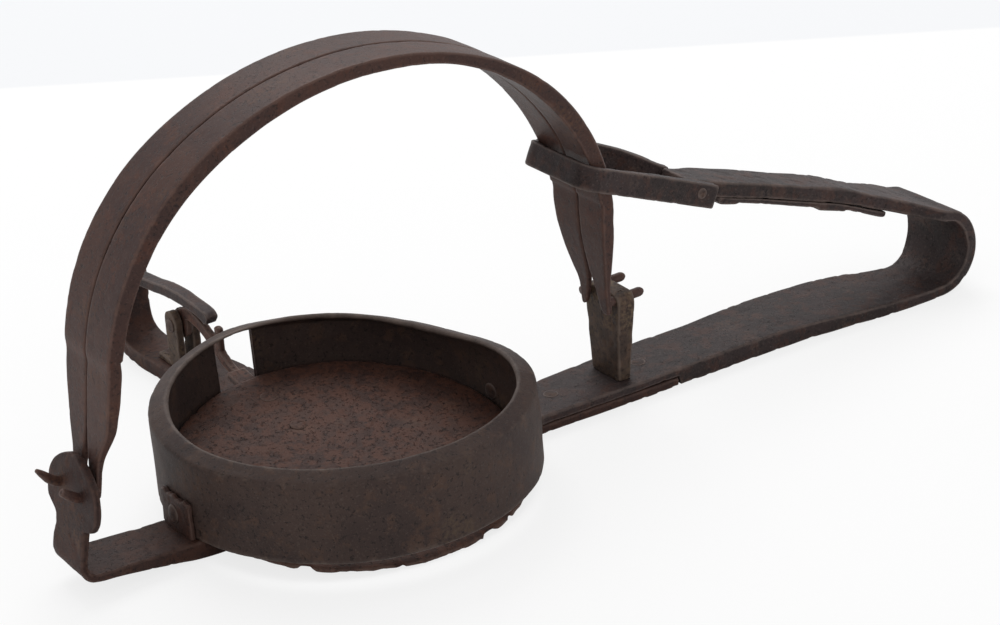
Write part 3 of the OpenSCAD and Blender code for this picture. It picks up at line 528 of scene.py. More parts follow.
# %% Sole bar
LEAN = math.tan(math.radians(11.5))
post_face_x = lambda z: -93.6 + (z - 32.2) * LEAN
post_rise = [(post_face_x(z), 0, z) for z in (42.9, 38, 33, 28, 23, 18, 14)]
sole_line = post_rise + [(-97.9, 0, 11.2), (-98.0, 0, 9.4), (-97.3, 0, 7.6), (-95.8, 0, 6.4), (-93.4, 0, 5.7),
                         (-87, 0, 4.8), (-81.5, 0, 3.9), (-74, 0, 2.8), (-67.7, 0, 1.7), (-61, 0, 0.6),
                         (-54, 0, 0.02), (-40, 0, 0), (0, 0, 0), (40, 0, 0), (80, 0, 0), (121.8, 0, 0)]
path, at = walk(sole_line, 0.9, 0.7)
x, z = path[:, 0], path[:, 2]
on_post = at < at[np.argmin(np.abs(z - 9.5) + (x > 0) * 99)]
height_far = [4, 10, 14, 17, 19.8, 21.4, 22.9, 24.2, 25.8, 29.3, 33.5, 37, 40, 41.9, 42.9]
half_far = [9.2, 9.9, 10.0, 9.3, 8.7, 8.7, 9.9, 12.6, 15.1, 15.9, 15.1, 12.9, 9.0, 5.2, 2.4]
height_near = [4, 10, 21.6, 22.7, 23.4, 24.2, 25.2, 27, 30, 33.5, 37, 40, 41.9, 42.9]
half_near = [11.2, 10.2, 9.8, 10.5, 13.2, 14.6, 15.4, 16.3, 16.6, 15.7, 13.4, 9.4, 5.4, 2.4]
along_x = [-98, -60, 0, 66, 84, 107, 122]
bar_far = eased(x, along_x, [9.2, 9.2, 10, 10.9, 11.8, 12.9, 13.6])
bar_near = eased(x, along_x, [12.0, 11.0, 11.0, 11.7, 12.1, 12.8, 12.9])
far = np.where(on_post, eased(z, height_far, half_far), bar_far)
near = np.where(on_post, eased(z, height_near, half_near), bar_near)
lap = step_up(x, 65.6, 66.2)
halving = step_up(x, -20.6, -20.1) * (1 - step_up(x, 20.1, 20.6))
bar_thick = eased(x, [-98.1, -97, -95, -90, -81.5, -72, -61, -54, 122],
                  [2.5, 2.8, 2.9, 3.0, 3.8, 4.5, 5.9, 6.4, 6.4])
thick = np.where(on_post, 2.6, bar_thick) - (lap + halving) * 3.25
sole_shell = bar(path, at, (0, 1, 0), far, near, thick, 0, 0.9, wide=18, thick=2, end=0.7)
forged("sole_bar_forged", [sole_shell], "base", "wrought_bar", wrought_bar, ["sole_bar"], seed=11)

# %% [markdown]
# ## The rear post
# The rear post is a separate flat post that stands on the bar, its tenon riveted over below. It
# was never smoothed, so it keeps the deepest sandy pits. The path runs up its back face.

# %% Rear post
path, at = walk([(105.3, 0, 6.2), (105.8, 0, 14), (106.4, 0, 22), (107.0, 0, 30), (107.2, 0, 34.5),
                 (107.0, 0, 38.5)], 0.7, 0.9)
half = eased(path[:, 2], [6, 14, 30, 35, 37, 38.1, 38.5], [7.5, 7.9, 8.8, 9.2, 8.9, 7.6, 6.2])
front = path[:, 0] - 100
post_shell = bar(path, at, (0, 1, 0), half, half + 0.6, front, 0, 0.9, wide=16, thick=5, end=0.9)
forged("rear_post_forged", [post_shell], "base", "wrought_bar", sandy_bar, ["rear_post"],
       wave=(0.2, 12), dent=(0.14, 4), pit=(0.3, 1.8), seed=21)

# %% [markdown]
# ## The spring
# The spring is one long bar of steel: a leg flat on the table, a bend, and an arm that rises
# back over the leg. It flexes as a whole, so one surface blends from the base to the arm
# across the bend. The path is its outer line: along the table, round the bend, up the arm's top.

# %% Spring
ARM_SLOPE = math.radians(20)
BEND_X, BEND_R = 232.5, 16.5
arm_root = np.array([BEND_X + BEND_R * math.sin(ARM_SLOPE), BEND_R + BEND_R * math.cos(ARM_SLOPE)])


def on_arm(along, rise=0.0):
    """A point of the arm: `along` mm from its root towards the eye and `rise` mm above its line."""
    return np.stack([arm_root[0] - along * math.cos(ARM_SLOPE) + rise * math.sin(ARM_SLOPE),
                     np.zeros_like(along + rise), arm_root[1] + along * math.sin(ARM_SLOPE)
                     + rise * math.cos(ARM_SLOPE)], -1)


def arm_rise(along):
    """How far the arm's top stands above a straight line from its root to its end."""
    return 2.2 * eased(along / 114, [0, 0.1, 0.21, 0.3, 0.38, 0.55, 0.71, 0.82, 1],
                       [0, 0.18, 0.43, 0.77, 1, 0.77, 0.55, 0.22, 0])


turn_angle = np.radians(np.linspace(-80, 56, 15))
# The forging bulges a little beyond the plain half circle of the CAD model.
BEND_BULGE = 2.4
bend_line = np.stack([BEND_X + BEND_BULGE + BEND_R * np.cos(turn_angle), 0 * turn_angle,
                      BEND_R + BEND_R * np.sin(turn_angle)], 1)
flat_x = np.array([66, 80, 100, 120, 140, 160, 180, 200, 215, 225, 232.5])
flat_line = np.stack([flat_x, 0 * flat_x, 0 * flat_x], 1)
arm_at = np.array([0, 5, 10, 17, 24, 34, 43, 53, 63, 72, 81, 93, 104, 113.6])
arm_line = on_arm(arm_at, arm_rise(arm_at))
path, at = walk(np.concatenate([flat_line, bend_line, arm_line]), 1.0, 0.7)
leg_end = at[np.argmin(np.abs(path[:, 0] - BEND_X) + path[:, 2])]
arm_start = at[np.argmin(np.linalg.norm(path - arm_line[0], axis=1))]
spring_x = [66, 84, 107, 122, 142, 152, 165, 178, 190, 199, 207, 215, 221, 228, 232.5]
far_leg = [10.9, 11.9, 12.9, 13.6, 13.1, 13.6, 15, 15.6, 15.8, 15.7, 15.0, 13.5, 10.8, 8.7, 8.2]
near_x = [66, 84, 107, 122, 160, 175, 192, 209, 219, 232.5]
near_leg = [11.7, 12.1, 12.8, 12.9, 13.2, 14.0, 15.9, 17.6, 18.1, 18.6]
# Beyond the leg the widths are keyed by the distance along the path.
s_bend = leg_end + (arm_start - leg_end) * np.array([0, 0.15, 0.4, 0.7, 1.0])
s_arm = arm_start + np.array([6, 12, 18, 25, 40, 113])
far_half = np.where(at < leg_end, eased(path[:, 0], spring_x, far_leg),
                    eased(at, np.concatenate([s_bend, s_arm]),
                          [8.2, 9.4, 12.4, 14.2, 14.4, 14.5, 13.4, 11.1, 9.3, 9.0, 9.0]))
near_half = np.where(at < leg_end, eased(path[:, 0], near_x, near_leg),
                     eased(at, np.concatenate([s_bend, s_arm]),
                           [18.3, 18.7, 18.9, 18.6, 17.8, 15.6, 13.0, 10.6, 9.2, 9.0, 9.0]))
far_half = far_half - 3.6 * step_up(at, at[-1] - 15, at[-1] - 3)
spring_thick = eased(at, [0, 84, leg_end, 0.5 * (leg_end + arm_start), arm_start, arm_start + 32, at[-1]],
                     [6.6, 6.6, 3.9, 4.2, 4.1, 5.1, 5.6])
lap_cut = 3.3 * (1 - step_up(path[:, 0], 121.8, 122.4)) * (at < leg_end)
spring_shell = bar(path, at, (0, 1, 0), far_half, near_half, spring_thick, -lap_cut, 0.9, wide=22, thick=2,
                   end=0.7)
spring = forged("spring_forged", [spring_shell], None, "spring_iron", spring_steel,
                ["spring_lower_leg", "spring_bend", "spring_upper_arm"], wave=(0.22, 15), seed=31)
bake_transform(spring)
print("spring length in mm:", round(float(at[-1])))

# %% [markdown]
# ## The eye
# The spring's end carries a hairpin of flat bar that goes round both jaws. Its near end is
# lapped on the arm's side and riveted. When the spring rises, the eye climbs the jaws and
# shuts them. Its far side bows out. The path is the hairpin's middle line, seen square to the
# eye's own sloping plane, with 0 at its end wall.

# %% Eye
EYE_SLOPE = math.radians(23)
EYE_X = 86.6
arm_tip = on_arm(np.array(114.0))
EYE_Z = arm_tip[2] + 0.25 + (arm_tip[0] - EYE_X) * math.tan(EYE_SLOPE)


def on_eye(u, y, w):
    """A point of the eye: u mm down its slope from the end wall, y across, w above its plane."""
    return np.stack([EYE_X + u * math.cos(EYE_SLOPE) + w * math.sin(EYE_SLOPE), y + 0 * u,
                     EYE_Z - u * math.sin(EYE_SLOPE) + w * math.cos(EYE_SLOPE)], -1)


hairpin = np.array([(59.0, -11.0), (50, -11.0), (42, -11.5), (32, -12.65), (24, -13.6), (18, -14.5),
                    (12, -15.3), (7, -16.0), (2.4, -15.4), (0.3, -13.4), (-0.2, -8), (-0.2, 0), (-0.2, 8),
                    (0.2, 13.4), (3.0, 15.8), (8, 16.9), (15, 18.5), (22.7, 20.3), (30.6, 20.5),
                    (37.6, 17.9), (43.4, 12.8), (48.3, 8.3), (52, 6.8)])
path, at = walk(on_eye(hairpin[:, 0], hairpin[:, 1], 0.0), 0.9, 0.6)
u = ((path[:, 0] - EYE_X) * math.cos(EYE_SLOPE) - (path[:, 2] - EYE_Z) * math.sin(EYE_SLOPE))
near_side = path[:, 1] < 0
near_t = eased(u, [0, 3, 8, 14, 19.3, 32, 42, 57], [2.6, 2.6, 2.5, 2.3, 3.1, 3.8, 4.0, 4.0])
far_t = eased(u, [0, 3, 8, 15, 22, 30, 37, 43, 52], [2.6, 2.8, 3.3, 3.8, 3.9, 3.8, 4.0, 4.2, 4.2])
half_t = 0.5 * np.where(near_side, near_t, far_t)
square = np.array([math.sin(EYE_SLOPE), 0, math.cos(EYE_SLOPE)])
# The far side stands a little higher, and the end wall is cut a little lower.
drop = (eased(u, [0, 2.6, 10, 60], [0.0, 0.2, 0, 0])
        - 1.7 * step_up(path[:, 1], 2, 12) * step_up(u, 2, 10) * (1 - 0.7 * step_up(u, 38, 52)))
depth = eased(u, [0, 6, 60], [8.2, 8.2, 8])
eye_shell = bar(path, at, square, -drop, depth, half_t, half_t, 0.7, wide=8, thick=2, end=0.6)
forged("spring_eye_forged", [eye_shell], "spring_arm", "spring_iron", spring_steel, ["spring_eye"],
       wave=(0.12, 13), dent=(0.08, 5), pit=(0.16, 1.9), seed=41)

# %% [markdown]
# ## The under leaf
# A thin second leaf lies under the arm, to stiffen it. It is uneven: two thicker stretches show
# below the arm's edge as small steps. The path is the arm's underside.

# %% Under leaf
leaf_at = np.linspace(19.2, 97.9, 40)
path, at = walk(on_arm(leaf_at, arm_rise(leaf_at) - 5.5), 0.8, 0.4)
share = (19.2 + at) / 114
leaf_thick = eased(share, [0.167, 0.175, 0.34, 0.353, 0.40, 0.452, 0.472, 0.6, 0.778, 0.79, 0.848, 0.86],
                   [1.3, 1.9, 1.9, 2.6, 2.8, 2.9, 2.0, 1.9, 1.8, 2.2, 2.4, 1.7])
leaf_half = eased(share, [0.167, 0.2, 0.5, 0.86], [7.6, 8.4, 8.6, 8.2])
leaf_shell = bar(path, at, (0, 1, 0), leaf_half, leaf_half, leaf_thick, 0, 0.5, wide=16, thick=1, end=0.4)
forged("spring_under_leaf_forged", [leaf_shell], "spring_arm", "spring_iron", spring_steel,
       ["spring_under_leaf"], wave=(0.08, 12), dent=(0.1, 5), pit=(0.15, 1.8), seed=51)

# %% [markdown]
# ## The jaws
# Each jaw is one strap bent to an arch. Its outer line is a straight leg, a haunch, a flatter
# crown, another haunch and another leg. Near the feet the strap thins and narrows, so the crack
# between the two jaws opens. A round pin is forged on each foot. The left pins pass through the
# post's head and end in spikes that were bent up to hold them.

# %% The arch's outer line
def arc(centre, radius, start, stop, count):
    """Points of a circle from one angle to another, in degrees, as x, 0, z."""
    a = np.radians(np.linspace(start, stop, count))
    return np.stack([centre[0] + radius * np.cos(a), 0 * a, centre[1] + radius * np.sin(a)], 1)


HAUNCH_L, HAUNCH_R, CROWN = (-8.424, 62.214), (27.084, 68.08), (9.419, 34.096)
left_leg = np.stack([np.interp(np.linspace(29.8, 71, 9), [29.8, 32.2, 73.3], [-89.1, -88.74, -82.6]),
                     np.zeros(9), np.linspace(29.8, 71, 9)], 1)
right_leg = np.stack([np.interp(np.linspace(69, 31.7, 9), [31.7, 36, 71.5], [98.95, 98.74, 97.0]),
                      np.zeros(9), np.linspace(69, 31.7, 9)], 1)
arch_line = np.concatenate([left_leg, arc(HAUNCH_L, 75.5, 171, 124, 14), arc(CROWN, 108.8, 121, 64, 22),
                            arc(HAUNCH_R, 70.3, 61, 3.5, 16), right_leg])
PIN_RISE, PIN_Y, PIN_RADIUS = 0.01913, 6.8, 1.6
pin_height = lambda x: 32.2 + (x + 93.6) * PIN_RISE


# %% Jaws
def jaw_shell(far):
    """One jaw on the far (+Y) side: the strap, and its two pins. The near jaw is this turned over."""
    path, at = walk(arch_line, 1.0, 0.8)
    x, z = path[:, 0], path[:, 2]
    left = x < 0
    if far:
        outer_left = eased(z, [29.8, 32.2, 37, 41.4, 44.5, 49, 55, 62, 70, 128],
                           [7.7, 8.3, 8.5, 8.9, 9.7, 10.9, 12.0, 13.2, 13.7, 14.4])
        outer_right = eased(z, [31.7, 34, 39, 42, 45, 50, 54, 64, 72, 85, 100, 118, 132],
                            [6.9, 7.0, 7.0, 7.5, 8.8, 10.5, 11.6, 13.6, 14.2, 14.6, 15.2, 15.1, 14.4])
    else:
        outer_left = eased(z, [29.8, 32.2, 38.6, 42, 46, 50, 53, 60, 70, 84, 100, 115, 130],
                           [7.1, 7.5, 7.9, 8.4, 10.3, 12.5, 13.6, 14.1, 14.6, 15.6, 15.8, 15.3, 14.5])
        outer_right = eased(z, [31.7, 34, 39, 42, 45, 50, 54, 64, 72, 128],
                            [7.7, 8.3, 8.3, 8.6, 9.3, 10.6, 11.6, 13.6, 14.2, 14.3])
    inner_left = eased(z, [29.8, 32.2, 36, 40, 46, 52], [5.4, 3.6, 2.4, 1.6, 0.8, 0.3])
    inner_right = eased(z, [31.7, 34, 38, 41, 47, 54], [5.4, 3.8, 2.6, 1.8, 0.8, 0.3])
    thin_left = eased(z, [29.8, 38, 44, 50, 56, 62], [2.0, 2.1, 2.6, 3.3, 4.0, 4.5])
    thin_right = eased(z, [31.7, 39, 42, 46, 50, 54, 61], [1.9, 2.0, 2.2, 2.7, 3.3, 3.8, 4.5])
    outer = np.where(left, outer_left, outer_right)
    inner = np.where(left, inner_left, inner_right)
    strap_t = np.where(left, thin_left, thin_right)
    # Hammered out thinner right of the crown and left thicker on both haunches.
    strap_t = strap_t + (z > 75) * (1.1 * np.exp(-((x - 84) / 16) ** 2) - 0.8 * np.exp(-((x - 40) / 16) ** 2)
                                    + 1.2 * np.exp(-((x + 52) / 38) ** 2))
    strap = bar(path, at, (0, 1, 0), outer, -inner, 0, strap_t, 0.75, wide=12, thick=2, end=0.8)
    pin_end = 115.0 if far else 112.4
    shank = [(PIN_RADIUS, px) for px in (97.3, 100, 104, 108, pin_end - 1.8)]
    right_pin = turned([(0, 97.2), *shank, (1.35, pin_end - 0.9), (0.8, pin_end - 0.2), (0, pin_end)],
                       (0, PIN_Y, pin_height(0)), (1, 0, PIN_RISE))
    tip = (-100.6, 38.2) if far else (-99.3, 36.1)
    bent = ((tip[0] - 96.6) / 2, (tip[1] + 33.9) / 2)
    spike_xz = [(-87.4, pin_height(-87.4)), (-91, pin_height(-91)), (-94.2, 32.35), (-96.6, 33.9), bent, tip]
    spike_line, spike_at = walk([(px, PIN_Y, pz) for px, pz in spike_xz], 0.4, 0.3)
    girth = eased(spike_at, [0, 6.5, 9.5, 13, spike_at[-1]], [1.6, 1.6, 1.55, 1.15, 0.55])
    spike = bar(spike_line, spike_at, (0, 1, 0), girth, girth, girth, girth, 9, wide=0, thick=1, end=0.3)
    shells = [strap, right_pin, spike]
    flip = np.array([1, 1 if far else -1, 1])
    return [(p * flip, f) for p, f in shells]


forged("far_jaw_forged", jaw_shell(True), "far_jaw", "jaw_iron", jaw_iron, ["far_jaw"],
       **JAW_MARKS, seed=61)
forged("near_jaw_forged", jaw_shell(False), "near_jaw", "jaw_iron", jaw_iron, ["near_jaw"],
       **JAW_MARKS, seed=71)

# %% [markdown]
# ## The collar
# The collar is a strip of sheet iron bent to a ring. Its upper edge is beaten inward to a lip,
# and a window is cut in its back for the pan's arm. The section is a closed loop carried round
# a circle, so the ring has no ends. The window's faces are left out and its four sides closed.

# %% Collar
def collar_shell():
    """Section points at each angle: outer wall and lip upward, inner lip and wall downward, at the same
    levels, so column k of the outside faces column -1 - k of the inside."""
    levels = np.concatenate([[6.4, 6.9], np.linspace(8.2, 11.6, 3), [12.8],
                             np.linspace(14.2, 30.8, 13), [32.2]])
    outer_r = np.full(len(levels), 60.0)
    outer_r[0] = 59.6
    inner_z = levels.copy()
    inner_z[-1] = 31.3
    inner_r = np.full(len(levels), 58.0)
    inner_r[0] = 58.4
    lip_out = np.array([(59.85, 33.0), (59.2, 33.55), (58.0, 34.05), (56.6, 34.75), (55.3, 35.4), (54.6, 35.6)])
    lip_in = np.array([(57.6, 31.8), (56.9, 32.35), (55.9, 32.95), (54.7, 33.6), (53.9, 34.2), (53.8, 34.9)])
    r = np.concatenate([outer_r, lip_out[:, 0], lip_in[::-1, 0], inner_r[::-1]])
    z = np.concatenate([levels, lip_out[:, 1], lip_in[::-1, 1], inner_z[::-1]])
    window_left, window_right = np.degrees(np.arctan2(59, -15)), np.degrees(np.arctan2(59, 0.6))
    window_angle = np.linspace(window_right, window_left, 17)
    rest = np.linspace(window_left, window_right + 360, 341)[1:-1]
    angle = np.radians(np.concatenate([window_angle, rest]))
    rows, columns = len(angle), len(r)
    a = angle[:, None]
    high = step_up(z, 16, 34)[None, :]
    # The ring is a little out of round. Its rim dips at the back right and stands up at the back
    # left, and over the window only a thin strip of the lip is left.
    around = lambda middle, wide: np.exp(-(((np.degrees(a) - middle + 180) % 360 - 180) / wide) ** 2)
    back_right, back_left, strip = around(21, 31), around(98, 38), around(97, 13)
    ring = (r[None, :] - 2.8 * step_up(z, 20, 34)[None, :] * back_right + 0.9 * high * back_left
            + (1.7 - 0.9 * high) * around(-45, 32) + 0.7 * around(-100, 40))
    level = (z[None, :] - 3.0 * step_up(z, 26, 35)[None, :] * back_right + 0.25 * high * np.sin(3 * a + 1)
             + step_up(z, 22, 31)[None, :] * (1.6 * back_left + 1.5 * strip)
             - 0.5 * np.maximum(z - 32.2, 0)[None, :] * strip)
    points = np.stack([ring * np.cos(a), ring * np.sin(a), level + 0 * a], -1)
    grid = np.arange(rows * columns).reshape(rows, columns)
    next_row, next_column = np.roll(grid, -1, 0), np.roll(grid, -1, 1)
    quads = np.stack([grid, next_row, np.roll(next_row, -1, 1), next_column], -1)
    low, top = 5, len(levels) - 1
    kept = np.ones((rows, columns), bool)
    kept[:16, low:top] = False
    kept[:16, columns - 1 - top:columns - 1 - low] = False
    row = np.arange(16)
    column = np.arange(low, top)
    inside = lambda k: columns - 1 - k
    sides = [np.stack([grid[row, k], grid[row + 1, k], grid[row + 1, inside(k)], grid[row, inside(k)]], -1)
             for k in (low, top)]
    sides += [np.stack([grid[e, column], grid[e, column + 1], grid[e, inside(column + 1)],
                        grid[e, inside(column)]], -1) for e in (0, 16)]
    sides[0], sides[3] = sides[0][:, ::-1], sides[3][:, ::-1]
    return points.reshape(-1, 3), [np.concatenate([quads[kept]] + sides)]


forged("collar_beaten", [collar_shell()], "base", "sheet_iron", sheet_iron, ["collar"],
       wave=(0.25, 24), dent=(0.12, 7), pit=(0.1, 2.0), seed=81)


# %% Collar lugs and rivets
def lug_shell(turn_deg, half_deg, ragged):
    """An upturned tab that hugs the collar: a bar along the circle, standing on edge."""
    a = np.radians(turn_deg + np.linspace(-half_deg, half_deg, 20))
    line = np.stack([60.1 * np.cos(a), 60.1 * np.sin(a), 6.2 + 0 * a], 1)
    path, at = walk(line, 0.6, 0.5)
    tall = 12.4 + ragged * (0.5 * np.sin(at * 0.9) + 0.35 * np.sin(at * 2.1 + 1)) - 1.6 * np.exp(-at / 1.6)
    return bar(path, at, (0, 0, 1), tall, 0, 1.7, 0, 0.6, wide=14, thick=1, end=0.5)


forged("collar_lug_left_forged", [lug_shell(180, 8.6, 0.7)], "base", "wrought_bar", wrought_bar,
       ["collar_lug_left"], wave=(0.1, 9), pit=(0.2, 1.7), seed=91)
forged("collar_lug_right_forged", [lug_shell(4.67, 8.6, 0.5)], "base", "wrought_bar", wrought_bar,
       ["collar_lug_right"], wave=(0.1, 9), pit=(0.2, 1.7), seed=92)
collar_heads = [turned(dome(3.0, 1.3, 0.6), (-61.6, 0, 12.5), (-1, 0, 0)),
                turned(dome(2.8, 0.7, 0.5), (-58.1, 0, 12.5), (1, 0, 0)),
                turned(dome(3.0, 1.3, 0.6), (61.5, 4.9, 12.5), (1, 0.08, 0)),
                turned(dome(2.8, 0.7, 0.5), (57.9, 4.9, 12.5), (-1, -0.08, 0))]
forged("collar_rivet_heads", collar_heads, "base", "rivet_iron", rivet_iron, ["collar_rivets"],
       wave=(0.08, 4), dent=(0.06, 2), pit=(0.06, 1.2), seed=95)

# %% [markdown]
# ## The cross arm
# The cross arm is a flat bar that is let into the sole bar and runs to the back, where it is
# turned up and forked for the catch. The bend keeps a soft inner curve, because thick bar will
# not fold sharply. The path is its outer line, from the top of the upright down and forward.

# %% Cross arm
path, at = walk([(0, 143, 24.4), (0, 143, 20), (0, 142.9, 15), (0, 142.3, 10), (0, 140.6, 5.6), (0, 137.4, 2.4),
                 (0, 133, 0.6), (0, 127, 0.05), (0, 115, 0), (0, 95, 0), (0, 70, 0), (0, 45, 0), (0, 25, 0),
                 (0, 11.0, 0)], 0.9, 0.6)
y = path[:, 1]
cross_y = [10.9, 30, 52, 80, 87, 98, 113, 130, 143]
plus = eased(y, cross_y, [18.6, 16.6, 15, 13.3, 12.7, 10.6, 6.4, 3, 2])
minus = -eased(y, [10.9, 30, 60, 90, 108, 128, 143], [-15.4, -13.8, -11.4, -10.4, -11.2, -12.3, -11.8])
cross_thick = eased(at, [0, 14, 20, 27, 36, at[-1]], [5, 5.2, 6.0, 6.2, 6, 6])
cross_shell = bar(path, at, (1, 0, 0), plus, minus, cross_thick, 0, 0.9, wide=18, thick=3, end=0.6)
path, at = walk([(0, 13.5, 3.2), (0, 8, 3.2), (0, -1, 3.2), (0, -7, 3.2)], 0.9, 0.5)
let_in = bar(path, at, (1, 0, 0), 19, 19, 3.2, 0, 0.5, wide=18, thick=1, end=0.5)


def prong(x_in, x_out):
    """One side of the fork: it rises straight inside the slot, and its outer edge follows a circle of
    radius 7 about (-4.9, 28)."""
    z = np.linspace(22, 34.6 if abs(x_in + 4.9) < 3 else 33.6, 12)
    path, at = walk(np.stack([0 * z + x_in, 0 * z + 143, z[::-1]], 1), 0.5, 0.6)
    reach = np.sqrt(np.maximum(49 - np.maximum(path[:, 2] - 28, 0) ** 2, 0.0))
    edge_x = np.where(path[:, 2] > 28, np.minimum(abs(x_out - x_in), np.maximum(reach - abs(x_in + 4.9), 0.9)),
                      abs(x_out - x_in))
    left_side = x_out < x_in
    return bar(path, at, (1, 0, 0), 0 if left_side else edge_x, edge_x if left_side else 0, 5, 0, 0.7,
               wide=4, thick=2, end=0.6)


forged("cross_arm_forged", [cross_shell, let_in, prong(-6.8, -11.8), prong(-1.2, 2.0)], "base",
       "wrought_bar", wrought_bar, ["cross_arm"], wave=(0.2, 14), dent=(0.12, 5), pit=(0.25, 2.0), seed=101)

# %% [markdown]
# ## The bracket
# A folded strap is riveted on the cross arm, and its two ears hold the pan's pin. The ears are
# bars that stand up and end in a half round.

# %% Bracket
def ear(x0):
    """An ear 3 mm thick: its half width near the top follows a circle of 4.1 mm."""
    path, at = walk([(x0, 101.5, 28.0), (x0, 101.5, 24), (x0, 101.5, 16), (x0, 101.5, 7)], 0.6, 0.3)
    up = np.maximum(path[:, 2] - 23.9, 0)
    half = np.sqrt(np.maximum(4.1 ** 2 - up ** 2, 0.6)) - 0.25 * step_up(path[:, 2], 20, 8)
    return bar(path, at, (0, 1, 0), half, half, 3, 0, 0.6, wide=8, thick=1, end=0.3)


path, at = walk([(-3.65, 87, 5.9), (-3.65, 95, 5.9), (-3.65, 105, 5.9), (-3.65, 115, 5.9)], 0.8, 0.5)
bracket_base = bar(path, at, (-1, 0, 0), 4.35, 4.35, 2.1, 0, 0.5, wide=8, thick=1, end=0.5)
forged("pan_bracket_folded", [ear(-8.5), ear(-2.3), bracket_base], "base", "wrought_bar", sandy_bar,
       ["pan_bracket"], wave=(0.12, 8), dent=(0.1, 3.5), pit=(0.2, 1.6), seed=111)
bracket_heads = [turned(dome(2.8, 1.3, 0.4), (-4, y0, 8.0), (0, 0, 1)) for y0 in (90.5, 111.5)]
forged("bracket_rivet_heads", bracket_heads, "base", "rivet_iron", rivet_iron, ["bracket_rivets"],
       **HEAD_MARKS, seed=115)


# Where the pan and the catch turn.
PAN_Y, PAN_Z = 101, 23
HINGE_Y, HINGE_Z = 140.5, 30.0


def headed_pin(x0, x1, y0, z0, radius, head, tall):
    """A pin along X with a hammered head at each end, as one turned shape."""
    a = np.radians(np.linspace(90, 0, 5))
    r = np.concatenate([[0], head * np.cos(a[1:]), [radius, radius], head * np.cos(a[::-1])[:-1], [0]])
    h = np.concatenate([[x0 - tall], x0 - tall * np.sin(a[1:]), [x0 + 0.1, x1 - 0.1],
                        x1 + tall * np.sin(a[::-1])[:-1], [x1 + tall]])
    return turned(np.stack([r, h], 1), (0, y0, z0), (1, 0, 0), 24)


forged("pan_pivot_pin_headed", [headed_pin(-8.5, 0.7, PAN_Y, PAN_Z, 1.5, 2.5, 1.2)], "base", "rivet_iron",
       rivet_iron, ["pan_pivot_pin"], **PIN_MARKS, seed=121)
forged("catch_pin_headed", [headed_pin(-11.9, 2.1, HINGE_Y, HINGE_Z, 1.3, 2.1, 1.0)], "base", "rivet_iron",
       rivet_iron, ["catch_pin"], **PIN_MARKS, seed=122)

# %% [markdown]
# ## The pan
# The pan is a round plate of thick sheet, hammered down at its rim, where rust has eaten it
# ragged. It is a turned sheet with a top, a rim and an underside, made on a grid of
# radius and angle, and then tilted about X as it hangs in the trap.

# %% Pan plate
PAN_TILT = math.radians(8.5)


def on_pan(points):
    """From the pan's own plane to the trap: turned about X by its tilt and lifted to 10.2 mm."""
    x, y, z = points.T
    return np.stack([x, y * math.cos(PAN_TILT) - z * math.sin(PAN_TILT),
                     10.2 + y * math.sin(PAN_TILT) + z * math.cos(PAN_TILT)], 1)


def pan_shell():
    """A top that runs out to 55 mm, turns down within the next few mm, further out in front, ends at a
    ragged edge and comes back underneath, 1.5 mm lower. The rim hangs less at the front, where it
    nears the table."""
    columns = 360
    a = np.linspace(0, 2 * np.pi, columns, endpoint=False)
    circle = np.stack([np.cos(a), np.sin(a), 0 * a], 1) * 57
    ragged = 0.5 * lumps(circle, 9, 5) + 0.5 * lumps(circle, 3.2, 6)
    nicks = step_up(lumps(circle, 5, 7), 0.45, 0.8)
    hang = 1.5 + 1.6 * step_up(np.sin(a), -0.9, 0.2) + 0.5 * ragged - 1.0 * nicks
    # In front the rim hangs below the collar, so it can stand out a little more.
    front_right = np.exp(-((np.degrees(a) - 310) / 32) ** 2)
    reach = 56.6 + 0.3 * ragged - 0.6 * nicks + (0.9 + 1.1 * front_right) * step_up(-np.sin(a), 0.35, 0.75)
    r_top = np.concatenate([np.linspace(1.1, 54.0, 50), [55.0]])
    top = np.stack([np.broadcast_to(r_top[:, None], (51, columns)), np.zeros((51, columns))], -1)
    r_under = np.concatenate([[53.6, 52.8], np.linspace(51.6, 1.1, 44)])
    under = np.stack([np.broadcast_to(r_under[:, None], (46, columns)), np.full((46, columns), -1.5)], -1)
    rim = [(reach - 0.7, 0 * a - 0.15), (reach - 0.2, 0 * a - 0.55), (reach, -0.55 * hang - 0.4),
           (reach, -hang), (reach - 0.5, -hang - 0.35), (reach - 1.2, -hang - 0.1),
           (reach - 1.6, -0.6 * hang - 1.0), (reach - 2.1, 0 * a - 1.55)]
    rim = np.stack([np.stack(pair, -1) for pair in rim], 0)
    profile = np.concatenate([top, rim, under])
    points = np.stack([profile[..., 0] * np.cos(a), profile[..., 0] * np.sin(a), profile[..., 1]], -1)
    rings = len(points)
    grid = np.arange(rings * columns).reshape(rings, columns)
    around = np.roll(grid, -1, axis=1)
    quads = np.stack([grid[:-1], grid[1:], around[1:], around[:-1]], -1).reshape(-1, 4)
    first, last = rings * columns, rings * columns + 1
    fans = np.concatenate([np.stack([grid[0], around[0], np.full(columns, first)], -1),
                           np.stack([around[-1], grid[-1], np.full(columns, last)], -1)])
    flat = np.concatenate([points.reshape(-1, 3), [[0, 0, 0], [0, 0, -1.5]]])
    inward = step_up(60 - np.hypot(flat[:, 0], flat[:, 1]), 6, 30)
    flat[:, 2] -= 0.35 * step_up(lumps(flat, 40, 8), -0.6, 0.8) * inward
    return on_pan(flat), [quads, fans]


forged("pan_plate_pitted", [pan_shell()], "pan", "pan_iron", pan_iron, ["pan_plate"],
       wave=(0.1, 14), dent=(0.14, 4.5), pit=(0.3, 1.7), seed=131)

